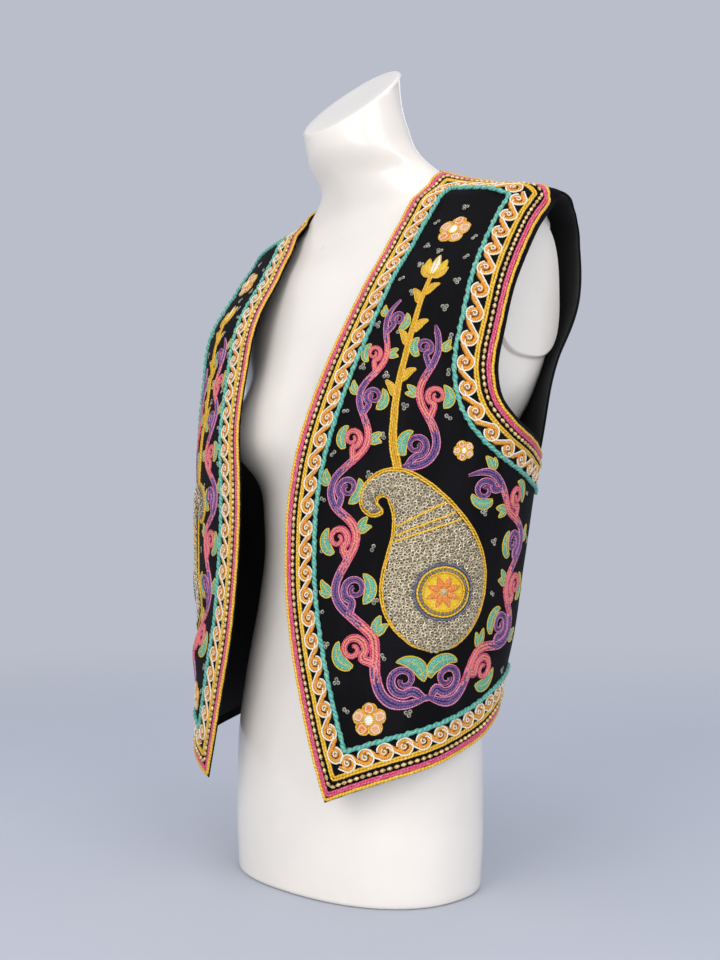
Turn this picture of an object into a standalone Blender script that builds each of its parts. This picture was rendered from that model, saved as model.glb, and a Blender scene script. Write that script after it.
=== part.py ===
"""Embroidered vest on a headless, armless dress form.

The form is a loft of rounded sections.  The vest is cut as a maker cuts it: two fronts and a
back, each with its lining, joined at the shoulders and the sides.  Each front carries one
padded applique, raised in its outer points.
Metres, +Z up, the front faces -Y and the wearer's left is +X.  Z = 0 is the flat base.

A place on the figure or on the vest is given by a bearing (degrees from the centre front,
growing towards the wearer's left) and a height.
"""
import math
from collections import namedtuple

import bmesh
import bpy
import numpy as np

# ---------------------------------------------------------------- driving dimensions
BASE_HEIGHT = 0.0            # flat base of the form
CHIN_HEIGHT = 0.730          # where the neck begins to follow its slanted cut
NECK_CUT_MIDDLE = 0.799      # height of the middle of the cut
NECK_CUT_SLOPE = 0.95        # rise of the cut towards the back
NECK_CUT_AXIS = -0.010       # y of the middle of the cut
ARM_CUT = 0.176              # half distance between the flat arm cuts
SEAT = 0.0010                # room between the form and the lining
LINING = 0.0008              # thickness of the lining
SHELL = 0.0016               # thickness of the velvet
PLY_GAP = 0.0003             # room between the lining and the velvet
SEAM_GAP = 0.0006            # room between two pieces at a seam
PLATE_THICK = 0.0060         # arm plates
PLATE_Y = 0.040
PLATE_Z = 0.579
PLATE_HALF_DEPTH = 0.051
PLATE_HALF_HEIGHT = 0.071
PLATE_SQUARENESS = 0.70       # 1 for an oval, less for squarer corners
UNDERARM_BEARING = 116.0
UNDERARM_HEIGHT = 0.418
SIDE_HEM_BEARING = 121.0
SIDE_HEM_HEIGHT = 0.178
SHOULDER_HEIGHT = 0.665      # shoulder tip of the vest
NECK_POINT_HEIGHT = 0.710    # where the shoulder seam meets the neck
BLADE_SPREAD = 0.036         # the back's parting line moves out this far from the neck point
BLADE_TURN = 0.016           # over about this height
BLADE_HEM_HEIGHT = 0.1895
APPLIQUE_BEARING = 71.0      # middle of the padded applique
APPLIQUE_HEIGHT = 0.318
APPLIQUE_HALF_WIDTH = 0.050
APPLIQUE_HALF_HEIGHT = 0.074
APPLIQUE_LIFT = 0.0040       # how far its middle stands above the velvet

# ---------------------------------------------------------------- tables
Section = namedtuple("Section", "height half_width centre_y front back front_power back_power")
Stop = namedtuple("Stop", "bearing height")
Gap = namedtuple("Gap", "height half_gap")
Fold = namedtuple("Fold", "bearing height spread reach depth lean")
Bust = namedtuple("Bust", "x height lift wide above below")

FIGURE = [
    Section(0.000, 0.136, -0.020, 0.092, 0.092, 2.3, 2.3),
    Section(0.060, 0.140, -0.020, 0.092, 0.094, 2.3, 2.3),
    Section(0.120, 0.140, -0.020, 0.090, 0.096, 2.3, 2.3),
    Section(0.200, 0.132, -0.016, 0.086, 0.092, 2.3, 2.3),
    Section(0.270, 0.121, -0.006, 0.087, 0.088, 2.3, 2.3),
    Section(0.320, 0.117, 0.002, 0.090, 0.086, 2.3, 2.3),
    Section(0.370, 0.122, 0.007, 0.094, 0.093, 2.3, 2.3),
    Section(0.420, 0.136, 0.014, 0.094, 0.100, 2.3, 2.3),
    Section(0.470, 0.170, 0.022, 0.096, 0.106, 2.3, 2.3),
    Section(0.520, 0.189, 0.030, 0.098, 0.106, 2.3, 2.3),
    Section(0.570, 0.198, 0.038, 0.096, 0.096, 2.2, 2.3),
    Section(0.620, 0.203, 0.046, 0.084, 0.076, 2.1, 2.2),
    Section(0.652, 0.203, 0.056, 0.076, 0.056, 2.0, 2.1),
    Section(0.662, 0.197, 0.057, 0.074, 0.050, 1.9, 2.0),
    Section(0.682, 0.146, 0.051, 0.0685, 0.044, 1.65, 1.9),
    Section(0.706, 0.084, 0.037, 0.0705, 0.042, 1.65, 2.0),
    Section(0.730, 0.063, 0.011, 0.068, 0.040, 2.0, 2.0),
    Section(0.760, 0.058, -0.007, 0.058, 0.044, 2.0, 2.0),
    Section(0.860, 0.055, -0.019, 0.050, 0.046, 2.0, 2.0),
]
BUST = Bust(0.080, 0.436, 0.044, 0.050, 0.066, 0.032)

HANG = [
    Section(0.080, 0.160, -0.040, 0.104, 0.130, 2.9, 2.1),
    Section(0.170, 0.163, -0.039, 0.105, 0.132, 2.7, 2.1),
    Section(0.240, 0.176, -0.034, 0.109, 0.144, 2.3, 2.1),
    Section(0.310, 0.188, -0.030, 0.111, 0.154, 2.1, 2.0),
    Section(0.380, 0.200, -0.026, 0.111, 0.156, 2.0, 2.0),
    Section(0.450, 0.212, -0.018, 0.110, 0.154, 2.0, 2.0),
    Section(0.510, 0.216, -0.004, 0.103, 0.146, 2.3, 2.2),
    Section(0.570, 0.216, 0.012, 0.090, 0.128, 3.0, 3.4),
    Section(0.620, 0.212, 0.034, 0.080, 0.102, 2.7, 3.6),
    Section(0.655, 0.2085, 0.054, 0.080, 0.072, 2.4, 3.0),
    Section(0.665, 0.206, 0.057, 0.079, 0.060, 2.2, 2.4),
    Section(0.674, 0.174, 0.055, 0.071, 0.052, 2.1, 2.2),
    Section(0.685, 0.140, 0.050, 0.060, 0.046, 2.0, 2.0),
    Section(0.697, 0.108, 0.046, 0.054, 0.045, 2.0, 2.0),
    Section(0.710, 0.078, 0.042, 0.050, 0.044, 2.0, 2.0),
    Section(0.722, 0.050, 0.040, 0.046, 0.044, 2.0, 2.0),
]

FRONT_EDGE = [
    Gap(0.710, 0.0780),
    Gap(0.703, 0.0862),
    Gap(0.693, 0.0885),
    Gap(0.665, 0.0830),
    Gap(0.610, 0.0775),
    Gap(0.559, 0.0735),
    Gap(0.500, 0.0600),
    Gap(0.451, 0.0500),
    Gap(0.400, 0.0388),
    Gap(0.345, 0.0338),
    Gap(0.290, 0.0360),
    Gap(0.235, 0.0445),
    Gap(0.185, 0.0575),
    Gap(0.142, 0.0700),
    Gap(0.101, 0.0838),
]
FRONT_ARMHOLE = [
    Stop(90.0, SHOULDER_HEIGHT),
    Stop(86.8, 0.638),
    Stop(84.1, 0.603),
    Stop(81.7, 0.563),
    Stop(81.2, 0.520),
    Stop(82.0, 0.478),
    Stop(84.6, 0.457),
    Stop(89.6, 0.442),
    Stop(97.0, 0.432),
    Stop(106.0, 0.4245),
    Stop(UNDERARM_BEARING, UNDERARM_HEIGHT),
]
BACK_ARMHOLE = [
    Stop(90.0, SHOULDER_HEIGHT),
    Stop(99.0, 0.655),
    Stop(105.2, 0.644),
    Stop(108.6, 0.624),
    Stop(111.3, 0.593),
    Stop(112.0, 0.542),
    Stop(110.8, 0.489),
    Stop(111.8, 0.450),
    Stop(UNDERARM_BEARING, UNDERARM_HEIGHT),
]
FRONT_HEM = [
    Stop(61.8, 0.123),
    Stop(82.2, 0.1385),
    Stop(99.7, 0.154),
    Stop(110.8, 0.168),
    Stop(SIDE_HEM_BEARING, SIDE_HEM_HEIGHT),
]
BACK_HEM = [
    Stop(SIDE_HEM_BEARING, SIDE_HEM_HEIGHT),
    Stop(145.0, 0.188),
    Stop(180.0, 0.191),
]
BACK_NECK = [
    Stop(90.0, NECK_POINT_HEIGHT),
    Stop(112.0, 0.7078),
    Stop(145.0, 0.7035),
    Stop(180.0, 0.7025),
]
# soft ridges (+) and troughs (-) of the hanging cloth
FOLDS = [
    Fold(-56.0, 0.262, 13.0, 0.022, -0.0055, 40.0),
    Fold(-60.0, 0.222, 15.0, 0.020, 0.0045, 40.0),
    Fold(-92.0, 0.270, 9.0, 0.085, -0.0045, -30.0),
    Fold(96.0, 0.262, 10.0, 0.080, -0.0035, 45.0),
    Fold(66.0, 0.595, 7.0, 0.045, -0.0030, -40.0),
    Fold(-64.0, 0.600, 7.0, 0.050, -0.0030, 45.0),
    Fold(150.0, 0.330, 8.0, 0.120, -0.0060, -25.0),
    Fold(-158.0, 0.300, 7.0, 0.110, -0.0065, 22.0),
    Fold(172.0, 0.260, 9.0, 0.090, 0.0050, 8.0),
    Fold(-136.0, 0.350, 8.0, 0.100, 0.0045, 18.0),
]

COLOURS = {
    "form": (0.86, 0.85, 0.83),
    "velvet": (0.012, 0.011, 0.013),
    "lining": (0.02, 0.02, 0.024),
}


# ---------------------------------------------------------------- smooth tables
def column(rows, name):
    """One column of a table, in order of growing height."""
    ordered = sorted(rows, key=lambda row: row.height)
    return np.array([getattr(row, name) for row in ordered], float)


def hermite(stops, values, at):
    """Smooth curve through values at stops, which never swings past a highest or lowest row."""
    step = np.diff(stops)
    rise = np.diff(values) / step
    slope = np.empty_like(values)
    slope[0] = rise[0]
    slope[-1] = rise[-1]
    slope[1:-1] = (rise[:-1] * step[1:] + rise[1:] * step[:-1]) / (step[:-1] + step[1:])
    slope[1:-1] = np.where(rise[:-1] * rise[1:] <= 0.0, 0.0, slope[1:-1])
    at = np.clip(np.asarray(at, float), stops[0], stops[-1])
    k = np.clip(np.searchsorted(stops, at, side="right") - 1, 0, len(stops) - 2)
    t = (at - stops[k]) / step[k]
    start = (1 + 2 * t) * (1 - t) ** 2 * values[k] + t * (1 - t) ** 2 * step[k] * slope[k]
    end = t * t * (3 - 2 * t) * values[k + 1] + t * t * (t - 1) * step[k] * slope[k + 1]
    return start + end


def look_up(rows, name, height):
    """A column of a table at any height."""
    return hermite(column(rows, "height"), column(rows, name), height)


# ---------------------------------------------------------------- figure and hanging cloth
def section_radius(rows, bearing, height):
    """Distance from the centre line to a rounded section, at a bearing in radians."""
    ahead = np.cos(bearing) >= 0.0
    depth = np.where(ahead, look_up(rows, "front", height), look_up(rows, "back", height))
    power = np.where(ahead, look_up(rows, "front_power", height),
                     look_up(rows, "back_power", height))
    across = np.abs(np.sin(bearing)) / look_up(rows, "half_width", height)
    along = np.abs(np.cos(bearing)) / depth
    return (across ** power + along ** power) ** (-1.0 / power)


def figure_radius(bearing, height):
    """The form's section with the soft rise of the bust."""
    radius = section_radius(FIGURE, bearing, height)
    off_x = (np.abs(radius * np.sin(bearing)) - BUST.x) / BUST.wide
    off_z = height - BUST.height
    off_z = off_z / np.where(off_z > 0.0, BUST.above, BUST.below)
    facing = np.sqrt(np.clip(np.cos(bearing), 0.0, 1.0))
    return radius + BUST.lift * facing * np.exp(-off_x ** 2 - off_z ** 2)


def figure_points(bearing, height):
    """Points of the form, flat where the arms are cut."""
    radius = figure_radius(bearing, height)
    x = np.clip(radius * np.sin(bearing), -ARM_CUT, ARM_CUT)
    y = look_up(FIGURE, "centre_y", height) - radius * np.cos(bearing)
    return np.stack([x, y, height + 0.0 * bearing], axis=-1)


def figure_reach(bearing, height):
    """Distance to the form from the centre line of the vest, at a bearing of the vest."""
    shift = look_up(FIGURE, "centre_y", height) - look_up(HANG, "centre_y", height)
    own = bearing * 1.0
    for _ in range(10):
        radius = figure_radius(own, height)
        seen = np.arctan2(radius * np.sin(own), radius * np.cos(own) - shift)
        own = own + 0.8 * ((bearing - seen + np.pi) % (2.0 * np.pi) - np.pi)
    radius = figure_radius(own, height)
    return np.hypot(radius * np.sin(own), radius * np.cos(own) - shift)


def fold_height(bearing, height):
    """Sum of the soft folds at a bearing in radians."""
    total = 0.0 * (bearing + height)
    for fold in FOLDS:
        middle = np.radians(fold.bearing + fold.lean * (height - fold.height))
        off = (bearing - middle + np.pi) % (2.0 * np.pi) - np.pi
        across = off / np.radians(fold.spread)
        along = (height - fold.height) / fold.reach
        total = total + fold.depth * np.exp(-across ** 2 - along ** 2)
    return total


def larger(first, second, blend=0.002):
    """The larger of two distances, with a soft change between them."""
    share = np.clip(0.5 + 0.5 * (first - second) / blend, 0.0, 1.0)
    return second * (1.0 - share) + first * share + blend * share * (1.0 - share)


def vest_points(bearing, height):
    """Inner side of the cloth: its own hang, or the form with room for the cloth."""
    hang = section_radius(HANG, bearing, height) + fold_height(bearing, height)
    radius = larger(hang, figure_reach(bearing, height) + SEAT)
    x = radius * np.sin(bearing)
    y = look_up(HANG, "centre_y", height) - radius * np.cos(bearing)
    return np.stack([x, y, height + 0.0 * bearing], axis=-1)


def vest_frame(place):
    """Both tangents and the outward normal of the cloth at places (bearing, height)."""
    turn = 1e-4
    rise = 1e-4
    bearing = place[..., 0]
    height = place[..., 1]
    around = (vest_points(bearing + turn, height) - vest_points(bearing - turn, height)) / (2 * turn)
    upward = (vest_points(bearing, height + rise) - vest_points(bearing, height - rise)) / (2 * rise)
    normal = np.cross(around, upward)
    normal /= np.linalg.norm(normal, axis=-1, keepdims=True)
    return around, upward, normal


def on_cloth(place, out):
    """Points at places (bearing, height), moved out of the inner side by a distance."""
    points = vest_points(place[..., 0], place[..., 1])
    return points + vest_frame(place)[2] * np.asarray(out)[..., None]


# ---------------------------------------------------------------- cut lines, as (bearing, height)
def through(stops, count, first=()):
    """Places along a smooth line through a table of stops."""
    table = np.array([[math.radians(stop.bearing), stop.height] for stop in stops])
    return even(spline(table, 40 * len(stops)), count, first)


def spline(table, count):
    """Dense smooth line through the rows of a table of places."""
    steps = np.linalg.norm(np.diff(table * np.array([0.18, 1.0]), axis=0), axis=1)
    along = np.concatenate([[0.0], np.cumsum(steps)])
    at = np.linspace(0.0, along[-1], count)
    return np.stack([hermite(along, table[:, k].copy(), at) for k in (0, 1)], axis=-1)


def even(line, count, first=()):
    """The same line with count places: the first at the named distances, the rest even."""
    points = vest_points(line[:, 0], line[:, 1])
    steps = np.linalg.norm(np.diff(points, axis=0), axis=1)
    along = np.concatenate([[0.0], np.cumsum(steps)])
    begin = np.concatenate([[0.0], np.asarray(first, float)])
    at = np.concatenate([begin[:-1], np.linspace(begin[-1], along[-1], count - len(first))])
    return np.stack([np.interp(at, along, line[:, k]) for k in (0, 1)], axis=-1)


def bearing_of(half_gap, height, behind=False):
    """Bearing at which the cloth stands half_gap from the middle plane, ahead or behind."""
    low = np.zeros_like(height)
    high = np.full_like(height, 0.5 * np.pi)
    for _ in range(40):
        middle = 0.5 * (low + high)
        bearing = np.pi - middle if behind else middle
        short = vest_points(bearing, height)[..., 0] < half_gap
        low = np.where(short, middle, low)
        high = np.where(short, high, middle)
    middle = 0.5 * (low + high)
    return np.pi - middle if behind else middle


def front_edge(count, first=()):
    """Front edge of the left front, from the neck point down to the hem point."""
    height = np.linspace(FRONT_EDGE[0].height, FRONT_EDGE[-1].height, 240)
    half_gap = look_up(FRONT_EDGE, "half_gap", height)
    line = np.stack([bearing_of(half_gap, height), height], axis=-1)
    line[0, 0] = 0.5 * np.pi
    return even(line, count, first)


def hem_line(count):
    """Hem of the left front, from the hem point to the side seam."""
    tip = front_edge(3)[-1]
    return through([Stop(math.degrees(tip[0]), tip[1])] + FRONT_HEM, count)


def shoulder_line(count):
    """Shoulder seam, from the neck point to the shoulder tip."""
    height = np.linspace(NECK_POINT_HEIGHT, SHOULDER_HEIGHT, 60)
    return even(np.stack([np.full_like(height, 0.5 * np.pi), height], axis=-1), count)


def side_line(count):
    """Side seam, from the underarm to the hem."""
    return through([Stop(UNDERARM_BEARING, UNDERARM_HEIGHT),
                    Stop(SIDE_HEM_BEARING, SIDE_HEM_HEIGHT)], count)


def joined(*lines):
    """Lines end to end, each shared place once."""
    return np.concatenate([lines[0]] + [line[1:] for line in lines[1:]])


def share_along(line):
    """Each place's share of the way along its line, measured on the cloth."""
    points = vest_points(line[:, 0], line[:, 1])
    steps = np.linalg.norm(np.diff(points, axis=0), axis=1)
    along = np.concatenate([[0.0], np.cumsum(steps)])
    return along / along[-1]


def patch(left, right, top, bottom):
    """Four-sided net of places between its border lines (a Coons patch)."""
    v = 0.5 * (share_along(left) + share_along(right))[:, None, None]
    u = 0.5 * (share_along(top) + share_along(bottom))[None, :, None]
    ruled = (1 - u) * left[:, None] + u * right[:, None]
    raised = (1 - v) * top[None] + v * bottom[None]
    corners = ((1 - u) * (1 - v) * top[0] + u * (1 - v) * top[-1]
               + (1 - u) * v * bottom[0] + u * v * bottom[-1])
    return ruled + raised - corners


# ---------------------------------------------------------------- nets of the pieces
ARMHOLE_ROWS = 19
SIDE_ROWS = 12
FRONT_COLUMNS = 14
BACK_SHOULDER_COLUMNS = 7
BACK_NECK_COLUMNS = 9
# distances from the shoulder seam of the first rows, which follow its sharp turn
NEAR_SHOULDER = (0.004, 0.009, 0.016, 0.025, 0.035)


def seam_shift(line, side):
    """Move a seam line along its bearing by half a seam gap, towards side (+1 or -1)."""
    points = vest_points(line[:, 0], line[:, 1])
    centre = look_up(HANG, "centre_y", line[:, 1])
    radius = np.hypot(points[:, 0], points[:, 1] - centre)
    shifted = line.copy()
    shifted[:, 0] += side * 0.5 * SEAM_GAP / radius
    return shifted


def front_net():
    """Net of the left front: rows from the shoulder down, columns from the front edge."""
    rows = ARMHOLE_ROWS + SIDE_ROWS - 1
    left = front_edge(rows, NEAR_SHOULDER)
    right = joined(through(FRONT_ARMHOLE, ARMHOLE_ROWS, NEAR_SHOULDER),
                   seam_shift(side_line(SIDE_ROWS), -1.0))
    top = seam_shift(shoulder_line(FRONT_COLUMNS), -1.0)
    bottom = hem_line(FRONT_COLUMNS)
    left[0] = top[0]
    right[0] = top[-1]
    right[ARMHOLE_ROWS - 1] = seam_shift(side_line(SIDE_ROWS), -1.0)[0]
    bottom[-1] = right[-1]
    return patch(left, right, top, bottom)


def mirrored(line):
    """The same line on the other side of the middle plane, counted on past the back."""
    other = line.copy()
    other[:, 0] = 2.0 * np.pi - other[:, 0]
    return other


def blade_line(count):
    """Line down the back from the neck point, which parts the shoulders from the middle."""
    height = np.concatenate([NECK_POINT_HEIGHT - 0.03 * np.linspace(0.0, 1.0, 60) ** 2,
                             np.linspace(NECK_POINT_HEIGHT - 0.032, BLADE_HEM_HEIGHT, 100)])
    spread = BLADE_SPREAD * (1.0 - np.exp((height - NECK_POINT_HEIGHT) / BLADE_TURN))
    line = np.stack([bearing_of(0.9995 * FRONT_EDGE[0].half_gap + spread, height, True), height],
                    axis=-1)
    line[0, 0] = 0.5 * np.pi
    return even(line, count, NEAR_SHOULDER)


def back_net():
    """Net of the back: rows from the shoulders down, columns from the wearer's left."""
    rows = ARMHOLE_ROWS + SIDE_ROWS - 1
    side = seam_shift(side_line(SIDE_ROWS), 1.0)
    left = joined(through(BACK_ARMHOLE, ARMHOLE_ROWS, NEAR_SHOULDER), side)
    left[ARMHOLE_ROWS - 1] = side[0]
    blade = blade_line(rows)
    shoulder = seam_shift(shoulder_line(BACK_SHOULDER_COLUMNS)[::-1], 1.0)
    neck = through(BACK_NECK, BACK_NECK_COLUMNS // 2 + 1)
    left[0] = shoulder[0]
    blade[0] = shoulder[-1]
    neck[0] = shoulder[-1]
    hem = through(BACK_HEM, 80)
    parting = np.argmin(np.abs(hem[:, 0] - blade[-1, 0]))
    hem[parting] = blade[-1]
    hem[0] = left[-1]
    yoke = patch(left, blade, shoulder, even(hem[:parting + 1], BACK_SHOULDER_COLUMNS))
    low = even(hem[parting:], len(neck))
    middle = patch(blade, mirrored(blade), joined(neck, mirrored(neck)[::-1]),
                   joined(low, mirrored(low)[::-1]))
    far = np.stack([2.0 * np.pi - yoke[:, ::-1, 0], yoke[:, ::-1, 1]], axis=-1)
    return np.concatenate([yoke, middle[:, 1:-1], far], axis=1)


def applique_lift(place):
    """How far a padded applique raises the velvet at each place of a net."""
    around, upward, _ = vest_frame(np.array([math.radians(APPLIQUE_BEARING), APPLIQUE_HEIGHT]))
    across = (np.abs(place[..., 0]) - math.radians(APPLIQUE_BEARING)) * np.linalg.norm(around)
    rise = (place[..., 1] - APPLIQUE_HEIGHT) * np.linalg.norm(upward)
    off = np.hypot(across / APPLIQUE_HALF_WIDTH, rise / APPLIQUE_HALF_HEIGHT)
    return APPLIQUE_LIFT * np.clip(1.5 * (1.0 - off), 0.0, 1.0)


# ---------------------------------------------------------------- making the objects
def clear_scene():
    """Remove every object that the file holds."""
    for thing in list(bpy.data.objects):
        bpy.data.objects.remove(thing, do_unlink=True)


def material(name, roughness, metallic=0.0):
    """A Principled material in one of the named colours."""
    new = bpy.data.materials.new(name)
    new.use_nodes = True
    shader = new.node_tree.nodes["Principled BSDF"]
    shader.inputs["Base Color"].default_value = (*COLOURS[name], 1.0)
    shader.inputs["Roughness"].default_value = roughness
    shader.inputs["Metallic"].default_value = metallic
    return new


def put(name, points, faces, finish, home):
    """A smooth-shaded object from points and faces, in its collection."""
    mesh = bpy.data.meshes.new(name)
    mesh.from_pydata([tuple(point) for point in points], [], faces)
    mesh.validate()
    mesh.shade_smooth()
    mesh.materials.append(finish)
    thing = bpy.data.objects.new(name, mesh)
    home.objects.link(thing)
    return thing


def net_faces(rows, columns, keep=None):
    """Triangles of a net, outward when columns run with the bearing and rows run down.

    Every layer of the cloth is split along the same diagonals, so the layers never cross.
    """
    faces = []
    for i in range(rows - 1):
        for j in range(columns - 1):
            if keep is not None and not keep[i, j]:
                continue
            corner = i * columns + j
            below = corner + columns
            faces.append((corner, below, below + 1))
            faces.append((corner, below + 1, corner + 1))
    return faces


def drop_loose(thing):
    """Remove points that no face uses."""
    shape = bmesh.new()
    shape.from_mesh(thing.data)
    loose = [vert for vert in shape.verts if not vert.link_faces]
    bmesh.ops.delete(shape, geom=loose, context="VERTS")
    shape.to_mesh(thing.data)
    shape.free()


def wall(name, place, near, far, finish, home, keep=None, flip=False):
    """A cloth wall lofted between its inner and its outer net and closed along its rim."""
    rows, columns = place.shape[:2]
    inner = on_cloth(place, near).reshape(-1, 3)
    outer = on_cloth(place, far).reshape(-1, 3)
    count = len(inner)
    faces = net_faces(rows, columns, keep)
    if flip:
        faces = [face[::-1] for face in faces]
    sides = {(face[k], face[(k + 1) % 3]) for face in faces for k in range(3)}
    rim = [(b, a, a + count, b + count) for a, b in sorted(sides) if (b, a) not in sides]
    inside = [tuple(corner + count for corner in face[::-1]) for face in faces]
    thing = put(name, np.concatenate([outer, inner]), faces + inside + rim, finish, home)
    drop_loose(thing)
    return thing


def mirror_points(points):
    """The same points on the wearer's other side."""
    return points * np.array([-1.0, 1.0, 1.0])


def other_side(place):
    """The same places on the wearer's other side."""
    return place * np.array([-1.0, 1.0])


# heights of the form's rings, closest where the bust and the shoulders turn
FORM_LEVELS = [BASE_HEIGHT, 0.07, 0.14, 0.20, 0.24, 0.28, 0.32, 0.355, 0.38, 0.395, 0.41, 0.425,
               0.445, 0.47, 0.50, 0.53, 0.56, 0.59, 0.615, 0.635, 0.650, 0.658, 0.664, 0.669,
               0.674, 0.679, 0.684, 0.690, 0.696, 0.702, 0.709, 0.718, CHIN_HEIGHT]


def build_form(finish, home):
    """The form: rings of rounded sections, a slanted neck cut and a flat base."""
    turns = 44
    bearing = np.linspace(0.0, 2.0 * np.pi, turns, endpoint=False)
    rings = [figure_points(bearing, np.full_like(bearing, height)) for height in FORM_LEVELS]
    for share in (0.5, 1.0):
        height = np.full_like(bearing, NECK_CUT_MIDDLE)
        for _ in range(8):
            y = look_up(FIGURE, "centre_y", height) - figure_radius(bearing, height) * np.cos(bearing)
            cut = NECK_CUT_MIDDLE + NECK_CUT_SLOPE * (y - NECK_CUT_AXIS)
            height = CHIN_HEIGHT + share * (cut - CHIN_HEIGHT)
        rings.append(figure_points(bearing, height))
    points = np.concatenate(rings)
    faces = []
    for i in range(len(rings) - 1):
        for j in range(turns):
            k = (j + 1) % turns
            faces.append((i * turns + j, i * turns + k, (i + 1) * turns + k, (i + 1) * turns + j))
    faces.append(tuple(range(turns - 1, -1, -1)))
    top = (len(rings) - 1) * turns
    faces.append(tuple(top + j for j in range(turns)))
    return put("form", points, faces, finish, home)


def build_plate(name, side, finish, home):
    """A flat oval plate on an arm cut."""
    count = 32
    turn = np.linspace(0.0, 2.0 * np.pi, count, endpoint=False)
    y = PLATE_Y + PLATE_HALF_DEPTH * np.sign(np.cos(turn)) * np.abs(np.cos(turn)) ** PLATE_SQUARENESS
    z = PLATE_Z + PLATE_HALF_HEIGHT * np.sign(np.sin(turn)) * np.abs(np.sin(turn)) ** PLATE_SQUARENESS
    x = np.full_like(y, ARM_CUT + PLY_GAP)
    rim = np.stack([x, y, z], axis=-1)
    face = tuple(range(count))
    if side < 0:
        rim = mirror_points(rim)
        face = face[::-1]
    thing = put(name, rim, [face], finish, home)
    solidify = thing.modifiers.new("plate", "SOLIDIFY")
    solidify.thickness = PLATE_THICK
    solidify.offset = 1.0
    return thing


def build_panel(label, place, lined, lift, velvet, lining, home, flip=False):
    """One cut piece of the vest: its velvet wall, raised by lift, and its lining wall."""
    wall("lining_" + label, place, 0.0, LINING, lining, home, lined, flip)
    near = LINING + PLY_GAP
    wall(label, place, near, near + SHELL + lift, velvet, home, None, flip)


def lined_front(place):
    """Cells of a front that the lining covers: all but a margin at its free edges."""
    rows, columns = place.shape[:2]
    keep = np.ones((rows - 1, columns - 1), bool)
    keep[:, 0] = False
    keep[-1, :] = False
    return keep


def lined_back(place):
    """Cells of the back that the lining covers: all but a margin at the hem."""
    rows, columns = place.shape[:2]
    keep = np.ones((rows - 1, columns - 1), bool)
    keep[-1, :] = False
    return keep


def main():
    """Build the form, then the vest piece by piece."""
    clear_scene()
    home = bpy.data.collections.new("embroidered_vest")
    bpy.context.scene.collection.children.link(home)
    white = material("form", 0.32)
    velvet = material("velvet", 0.85)
    lining = material("lining", 0.55)

    build_form(white, home)
    build_plate("arm_plate_left", 1, white, home)
    build_plate("arm_plate_right", -1, white, home)

    left = front_net()
    right = other_side(left)
    build_panel("front_left", left, lined_front(left), applique_lift(left), velvet, lining, home)
    build_panel("front_right", right, lined_front(right), applique_lift(right), velvet, lining,
                home, True)
    back = back_net()
    build_panel("back", back, lined_back(back), 0.0, velvet, lining, home)


main()
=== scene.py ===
"""Embroidered velvet vest on a headless, armless dress form: its finished surfaces.

A place on the form or on the cloth is a bearing (radians from the centre front, growing
towards the wearer's left) and a height in metres.  The cloth is a map from places to points
with a normal; every panel, thread, bead and sequin is laid out on that map.
"""
import logging
import math
from dataclasses import dataclass, field
from enum import Enum
from functools import cache
from typing import Callable, NamedTuple

import bpy
import numpy as np
from mathutils import Matrix


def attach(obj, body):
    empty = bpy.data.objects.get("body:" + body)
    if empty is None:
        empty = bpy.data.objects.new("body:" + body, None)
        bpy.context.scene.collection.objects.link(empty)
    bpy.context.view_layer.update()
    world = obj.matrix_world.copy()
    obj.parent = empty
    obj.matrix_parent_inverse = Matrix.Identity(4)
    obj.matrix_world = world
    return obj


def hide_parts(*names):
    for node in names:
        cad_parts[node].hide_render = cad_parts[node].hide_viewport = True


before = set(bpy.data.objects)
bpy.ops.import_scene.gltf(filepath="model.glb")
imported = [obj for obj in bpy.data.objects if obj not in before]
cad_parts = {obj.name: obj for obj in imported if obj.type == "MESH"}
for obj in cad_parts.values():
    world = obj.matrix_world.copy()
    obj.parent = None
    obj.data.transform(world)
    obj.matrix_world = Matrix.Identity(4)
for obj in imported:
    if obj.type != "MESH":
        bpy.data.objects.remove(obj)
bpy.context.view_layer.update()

LOG = logging.getLogger("vest")

Array = np.ndarray
Number = Array | float
Pair = tuple[float, float]
Triple = tuple[float, float, float]
Row = tuple[float, ...]
Colour = Triple
Spots = tuple[Pair, ...]
Material, Socket, Thing = bpy.types.Material, bpy.types.NodeSocket, bpy.types.Object

TAU = 2.0 * np.pi
HALF_TURN = 0.5 * np.pi

# ---------------------------------------------------------------- sizes shared by the pieces
CHIN_HEIGHT = 0.730
NECK_CUT_MIDDLE = 0.799
NECK_CUT_SLOPE = 0.95
NECK_CUT_AXIS = -0.010
ARM_CUT = 0.176
SEAT = 0.0010
LINING = 0.0008
PLY_GAP = 0.0003
SHELL = 0.0016
SEAM_GAP = 0.0006
VELVET_INNER = LINING + PLY_GAP
VELVET_TOP = VELVET_INNER + SHELL
HANDS = (("left", 1.0), ("right", -1.0))
UNDERARM_BEARING = 116.0
UNDERARM_HEIGHT = 0.418
SIDE_HEM_BEARING = 121.0
SIDE_HEM_HEIGHT = 0.178
SHOULDER_HEIGHT = 0.665
NECK_POINT_HEIGHT = 0.710
BLADE_SPREAD = 0.036
BLADE_TURN = 0.016
BLADE_HEM_HEIGHT = 0.1895


class Section(NamedTuple):
    """One level ring: its height, half width, centre, depths and roundness."""

    height: float
    half_width: float
    centre_y: float
    front: float
    back: float
    front_power: float
    back_power: float


class Stop(NamedTuple):
    """A point of a cut line: bearing in degrees and height."""

    bearing: float
    height: float


class Gap(NamedTuple):
    """A point of the front edge: height and distance from the middle plane."""

    height: float
    half_gap: float


class Fold(NamedTuple):
    """A soft ridge (+) or trough (-): where it is, how wide, how long, how deep, its lean."""

    bearing: float
    height: float
    spread: float
    reach: float
    depth: float
    lean: float


class Bust(NamedTuple):
    """The soft rise of the form's bust."""

    x: float
    height: float
    lift: float
    wide: float
    above: float
    below: float


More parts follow.
